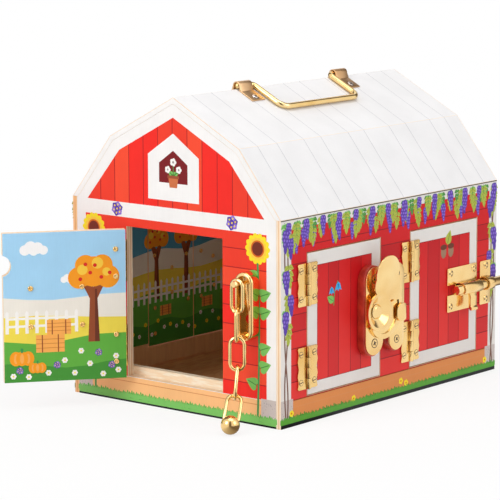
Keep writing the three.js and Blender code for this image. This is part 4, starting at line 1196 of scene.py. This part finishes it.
def fasten(kind, size, face, points, slot_turn=13, finish=brass):
    """Heads of one kind at places on a face, gathered until the body's set is made"""
    turn = math.radians(slot_turn)
    across = (face.at(math.cos(turn), math.sin(turn)) - face.at(0, 0)).normalized()
    for u, v, height in points:
        places = fastened.setdefault((face.body, kind, size, finish), [])
        places.append((face.at(u, v, height), face.normal, across))


def hinge_points(u, lows, height=SHEET_TOP):
    """Two screws in each leaf of two hinges, either side of the pin"""
    return [(u, low + step, height) for low in lows for step in (6.6, 31.8)]


def place_fasteners():
    reach = 9.4
    tail = 0.4
    right_lows, left_lows, front_lows = (31, 105.6), (33, 109), (34.4, 112.9)
    for body, side, pin, way, lows in (
        ("right_front_door", 1, -128.75, 1, right_lows), ("right_rear_door", 1, 24.5, 1, right_lows),
        ("left_front_door", -1, 68, -1, left_lows), ("left_rear_door", -1, -65, 1, left_lows),
    ):
        fasten("slotted", 2.5, side_face("barn", side), hinge_points(pin - way * reach, lows))
        fasten("slotted", 2.5, side_face(body, side), hinge_points(pin + way * reach, lows))
        if side > 0:
            fasten("rivet", 1.9, side_face(body, side, SIDE_WALL), hinge_points(-pin - reach, lows, tail))
    fasten("slotted", 2.5, front, hinge_points(FRONT_PIN.x - reach, front_lows))
    fasten("slotted", 2.5, door_outer, hinge_points(reach, front_lows))
    rivets = [(10.4, v) for v in (144.2, 119.4, 65.9, 40.9)] + [(s, v) for s in (41.4, 88.2) for v in (76.2, 111)]
    fasten("rivet", 2.5, door_inner, [(DOOR_EDGE - s, v, tail) for s, v in rivets])
    fasten("rivet", 1.9, door_outer, [(s, v, SHEET_TOP) for s in (39.5, 90.1) for v in (74.5, 112.7)])

    # Sash lock, on blocks
    block_top = SEAT_GAP + 7.6 + SHEET_TOP
    lock_face = side_face("right_front_door", 1)
    fasten("sunk", 3.9, lock_face, [(-41.25, LATCH_LINE + s * 29.5, block_top) for s in (-1, 1)], 24)
    fasten("sunk", 3.4, right, [(-7.65, LATCH_LINE + s * 30.5, block_top) for s in (-1, 1)], 38)

    # Bolt and its keeper
    bolt_face = side_face("right_rear_door", 1)
    for turn, face, u, lows in (
        (90, bolt_face, 88.2, (72.6, 104.4)), (-90, bolt_face, 126.4, (72.6, 104.4)), (90, right, 146.3, (72.2, 104.8)),
    ):
        fasten("dotted", 3.5, face, [(u, v, SHEET_TOP) for v in lows], turn)

    # Cup of the chain
    fasten("cross", 2.5, front, [(89, 84.5, SEAT_GAP + 1.6)], 20)

    # Bar latch and its hook, and the tails of their rivets inside
    for body, places in (
        ("left_front_door", ((10.2, 19), (34.2, 12))), ("left_rear_door", ((-7.2, 19), (-31.2, 12))),
    ):
        spots = [(u, LATCH_LINE + s * step, SHEET_TOP) for u, step in places for s in (-1, 1)]
        fasten("slotted", 2.3, side_face(body, -1), spots)
    for body, pin, spots in (
        ("left_front_door", -58.5, ((-33.4, 100.6), (-33.5, 76.7), (-12.5, 111.4), (-10, 66.9))),
        ("left_rear_door", 55.5, ((9.8, 111.2), (9.5, 66.7), (27.9, 103.9), (29.2, 74.8))),
    ):
        spots = (*spots, *((pin, v) for v in (115.6, 140.6, 39.6, 64.6)))
        fasten("rivet", 2.1, side_face(body, -1, SIDE_WALL), [(u, v, tail) for u, v in spots])

    # Handle straps, one screw in each foot
    for side in (1, -1):
        face = Face("barn", (0, 0, RIDGE), (0, side, 0), (-side * KNEE_HALF, 0, RIDGE - KNEE))
        fasten("cross", 3.1, face, [(side * at, -16.2, 1.35) for at in (-68, 75)], 30, nickel)


def make_fasteners():
    growth = fastener_growth()
    heads = {kind: head_of(kind) for kind in HEADS}
    slot_shade_meshes = {kind: make_slot_shades(kind) for kind in HEADS if HEADS[kind][2]}
    for seed, ((body, kind, size, finish), places) in enumerate(fastened.items()):
        layers = [("heads", heads[kind], finish)]
        if kind in slot_shade_meshes:
            # Painted shade over the heads: dark slot floors and countersink rings
            layers.append(("recesses", slot_shade_meshes[kind], slot_shade_paint))
        for layer, head, coat in layers:
            points = meshed("points", [place[0] for place in places])
            for label, at in (("facing", 1), ("along", 2)):
                attribute = points.data.attributes.new(label, "FLOAT_VECTOR", "POINT")
                for item, place in zip(attribute.data, places):
                    item.vector = place[at]
            values = {"Head": head, "Size": size * MM, "Turn": 0.05, "Seed": seed + 1, "Finish": coat}
            carried(grown(f"{body}_{kind}_{layer}_{seed}", points, growth, values), body)
    for head in (*heads.values(), *slot_shade_meshes.values()):
        bpy.data.objects.remove(head)


# Metal pieces, carried over from the frame with rounded arrises


def refined(node, finish, bevel, smooth=32):
    """A merged copy of a node with its flat triangles joined and its sharp edges rounded"""
    source = frame["nodes"][node]
    b = bmesh.new()
    b.from_mesh(source.data)
    bmesh.ops.remove_doubles(b, verts=b.verts[:], dist=0.00001)
    bmesh.ops.dissolve_limit(b, angle_limit=math.radians(0.6), verts=b.verts[:], edges=b.edges[:])
    made = built(node + "_dressed", b, True)
    made.data.materials.append(finish)
    if bevel:
        modifier = made.modifiers.new("arris", "BEVEL")
        modifier.width = bevel * MM
        modifier.segments = 2
        modifier.limit_method = "ANGLE"
        modifier.angle_limit = math.radians(smooth)
        modifier.use_clamp_overlap = True
        mesh = applied(made)
        made.modifiers.clear()
        made.data = mesh
    made.data.set_sharp_from_angle(angle=math.radians(smooth))
    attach(made, source["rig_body"])
    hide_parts(node)


def metal_pieces():
    leaves = [node for node in frame["nodes"] if node.endswith("_leaf")]
    links = [f"chain_link_{i}" for i in range(1, 6)]
    for nodes, finish, bevel, smooth in (
        (leaves, hinge_brass, 0.18, 32),
        (("sash_base", "sash_lever", "sash_keeper", "bolt_plate", "slide_bolt", "bolt_keeper"), brass, 0.22, 32),
        (("latch_plate", "latch_bar", "latch_hook", "chain_track"), brass, 0.2, 32),
        (("handle_strap_front", "handle_strap_rear"), strap_brass, 0.2, 32),
        (("chain_anchor", "chain_knob"), brass, 0, 32),
        ((*links, "carry_handle"), brass_wire, 0, 80),
    ):
        for node in nodes:
            refined(node, finish, bevel, smooth)
    for node in ("sash_block", "sash_keeper_block"):
        refined(node, block_red, 0.5)


# Boards of the frame


def dress_boards():
    right_board = plywood("right_board", (1, 0, 0), HALF_WIDTH - SIDE_WALL, SIDE_WALL, 3)
    left_board = plywood("left_board", (1, 0, 0), -HALF_WIDTH, SIDE_WALL, 3, (255, 206, 152), (236, 176, 120))
    gable_inner = HALF_LENGTH - FRONT_BOARD
    finishes = {
        "front_wall": plywood("gable_board", (0, 1, 0), -HALF_LENGTH, FRONT_BOARD, 5),
        "back_wall": plywood("rear_gable_board", (0, 1, 0), gable_inner, FRONT_BOARD, 5),
        "front_door": plywood("front_door_board", door_out, door_back.dot(door_out), FRONT_BOARD, 5),
        # The floor's pine is made paler than the board itself: painted light falling in through the front doorway
        "floor_panel": pine("floor_board", (252, 196, 140), (232, 162, 108), (160, 22, 160)),
        "threshold_strip": pine("threshold_board", (255, 244, 224), (250, 224, 190), (24, 220, 220)),
        **dict.fromkeys(("right_wall", "right_front_door", "right_rear_door"), right_board),
        **dict.fromkeys(("left_wall", "left_front_door", "left_rear_door"), left_board),
    }
    lean_low = math.atan2(KNEE - EAVE, HALF_WIDTH - KNEE_HALF)
    lean_high = math.atan2(RIDGE - KNEE, KNEE_HALF)
    for side, name in ((1, "right"), (-1, "left")):
        for part, lean, at in (("lower", lean_low, (KNEE_HALF, KNEE)), ("upper", lean_high, (0, RIDGE))):
            axis = Vector((side * math.sin(lean), 0, math.cos(lean)))
            start = Vector((side * at[0], 0, at[1])).dot(axis) - ROOF_BOARD
            node = f"roof_{name}_{part}"
            finishes[node] = plywood(node + "_board", axis, start, ROOF_BOARD, 3)
    for node, material in finishes.items():
        for item in frame["nodes"][node].material_slots:
            item.material = material


# Stage, camera and lamps


def studio_tones(nodes, direction):
    """How bright the studio looks in polished metal, by direction: dark behind the camera and far to its sides"""
    level = nodes.vectors("MULTIPLY", {0: direction, 1: (1, 1, 0)})[0]
    unit = nodes.vectors("NORMALIZE", {0: level})[0]
    behind = nodes.vectors("DOT_PRODUCT", {0: unit, 1: (0.636, -0.772, 0)})["Value"]
    spread = nodes.add("ShaderNodeMapRange", {"Value": behind, "From Min": -1})
    stops = ((0.02, 1.0), (0.06, 0.14), (0.22, 0.14), (0.31, 1.0), (0.975, 1.0), (0.992, 0.14))
    return nodes.ramp(spread.outputs["Result"], *(
        (at, (tone, tone * (0.8 + 0.2 * tone), tone * (0.62 + 0.38 * tone), 1)) for at, tone in stops
    ))


def set_stage():
    reach = 12
    floor = meshed("studio_floor", [(*at, 0) for at in box(-reach, -reach, reach, reach)], [], [(0, 1, 2, 3)])
    finish = Finish("studio_white", 0.8)
    finish.colour(finish.ramp(finish.noise(finish.place, 2, 2), (0.3, grey(0.9)), (0.7, grey(0.92))))
    seen = finish.add("ShaderNodeLightPath").outputs
    glow = finish.mixed(seen["Is Glossy Ray"], grey(1), studio_tones(finish, finish.place))
    emission = finish.add("ShaderNodeEmission", {"Color": glow})
    fade = finish.add("ShaderNodeMapRange", {
        "Value": finish.vectors("LENGTH", {0: finish.place})["Value"],
        "From Min": 0.35, "From Max": 0.9, "To Min": 0.82, "To Max": 1.0,
    })
    by_eye = finish.maths("MULTIPLY", seen["Is Camera Ray"], fade.outputs["Result"])
    in_metal = finish.maths("MULTIPLY", seen["Is Glossy Ray"], 0.95)
    share = finish.maths("MAXIMUM", by_eye, in_metal)
    mix = finish.add("ShaderNodeMixShader", {0: share, 1: finish.surface, 2: emission.outputs[0]})
    finish.feed(finish.tree.nodes["Material Output"].inputs["Surface"], mix.outputs[0])
    floor.data.materials.append(finish.material)


def set_world():
    world = bpy.data.worlds.new("studio")
    bpy.context.scene.world = world
    world.use_nodes = True
    nodes = Nodes(world.node_tree)
    path = nodes.add("ShaderNodeLightPath").outputs

    def layer(colour, strength):
        return nodes.add("ShaderNodeBackground", {"Color": colour, "Strength": strength}).outputs[0]

    def chosen(share, first, second):
        return nodes.add("ShaderNodeMixShader", {0: share, 1: first, 2: second}).outputs[0]

    tones = studio_tones(nodes, nodes.add("ShaderNodeTexCoord").outputs["Generated"])
    through = nodes.maths("MAXIMUM", path["Is Camera Ray"], path["Is Transmission Ray"])
    plain = chosen(through, layer((1, 0.99, 0.98, 1), 0.55), layer(grey(1), 1.0))
    seen = chosen(path["Is Glossy Ray"], plain, layer(tones, 1.0))
    nodes.feed(nodes.tree.nodes["World Output"].inputs["Surface"], seen)


def lamp(name, at, towards, size, power, colour=(1, 1, 1)):
    data = bpy.data.lights.new(name, "AREA")
    data.shape = "SQUARE"
    data.size = size
    data.energy = power
    data.color = colour
    made = plain_object(name, data)
    made.location = at
    made.rotation_euler = (Vector(towards) - Vector(at)).to_track_quat("-Z", "Y").to_euler()


def set_lamps():
    lamp("front_softbox", (-0.5, -2.4, 1.5), (0, 0, 0.12), 1.4, 24.5, (1, 0.985, 0.96))
    lamp("top_softbox", (0.4, -0.2, 2.2), (0, 0, 0.1), 1.6, 16)
    lamp("side_softbox", (2.4, 0.5, 1.3), (0, 0, 0.12), 1.4, 12)


def set_camera():
    data = bpy.data.cameras.new("camera")
    data.lens = 192.0
    data.sensor_width = 36
    made = plain_object("camera", data)
    across = Vector((0.77185, 0.63580, -0.00197))
    up = Vector((-0.10303, 0.12813, 0.98639))
    behind = Vector((0.62740, -0.76115, 0.16441))
    place = Matrix((across, up, behind)).transposed().to_4x4()
    place.translation = Vector((1.5501, -1.9383, 0.53915))
    made.matrix_world = place
    bpy.context.scene.camera = made


set_camera()
set_world()
set_lamps()
set_stage()
dress_boards()
gable_prints()
side_prints()
front_door_prints()
roof_prints()
garlands()
grass()
for sprig in sprigs.values():
    bpy.data.objects.remove(sprig)
metal_pieces()
place_fasteners()
make_fasteners()

bpy.context.scene.view_settings.view_transform = "Standard"
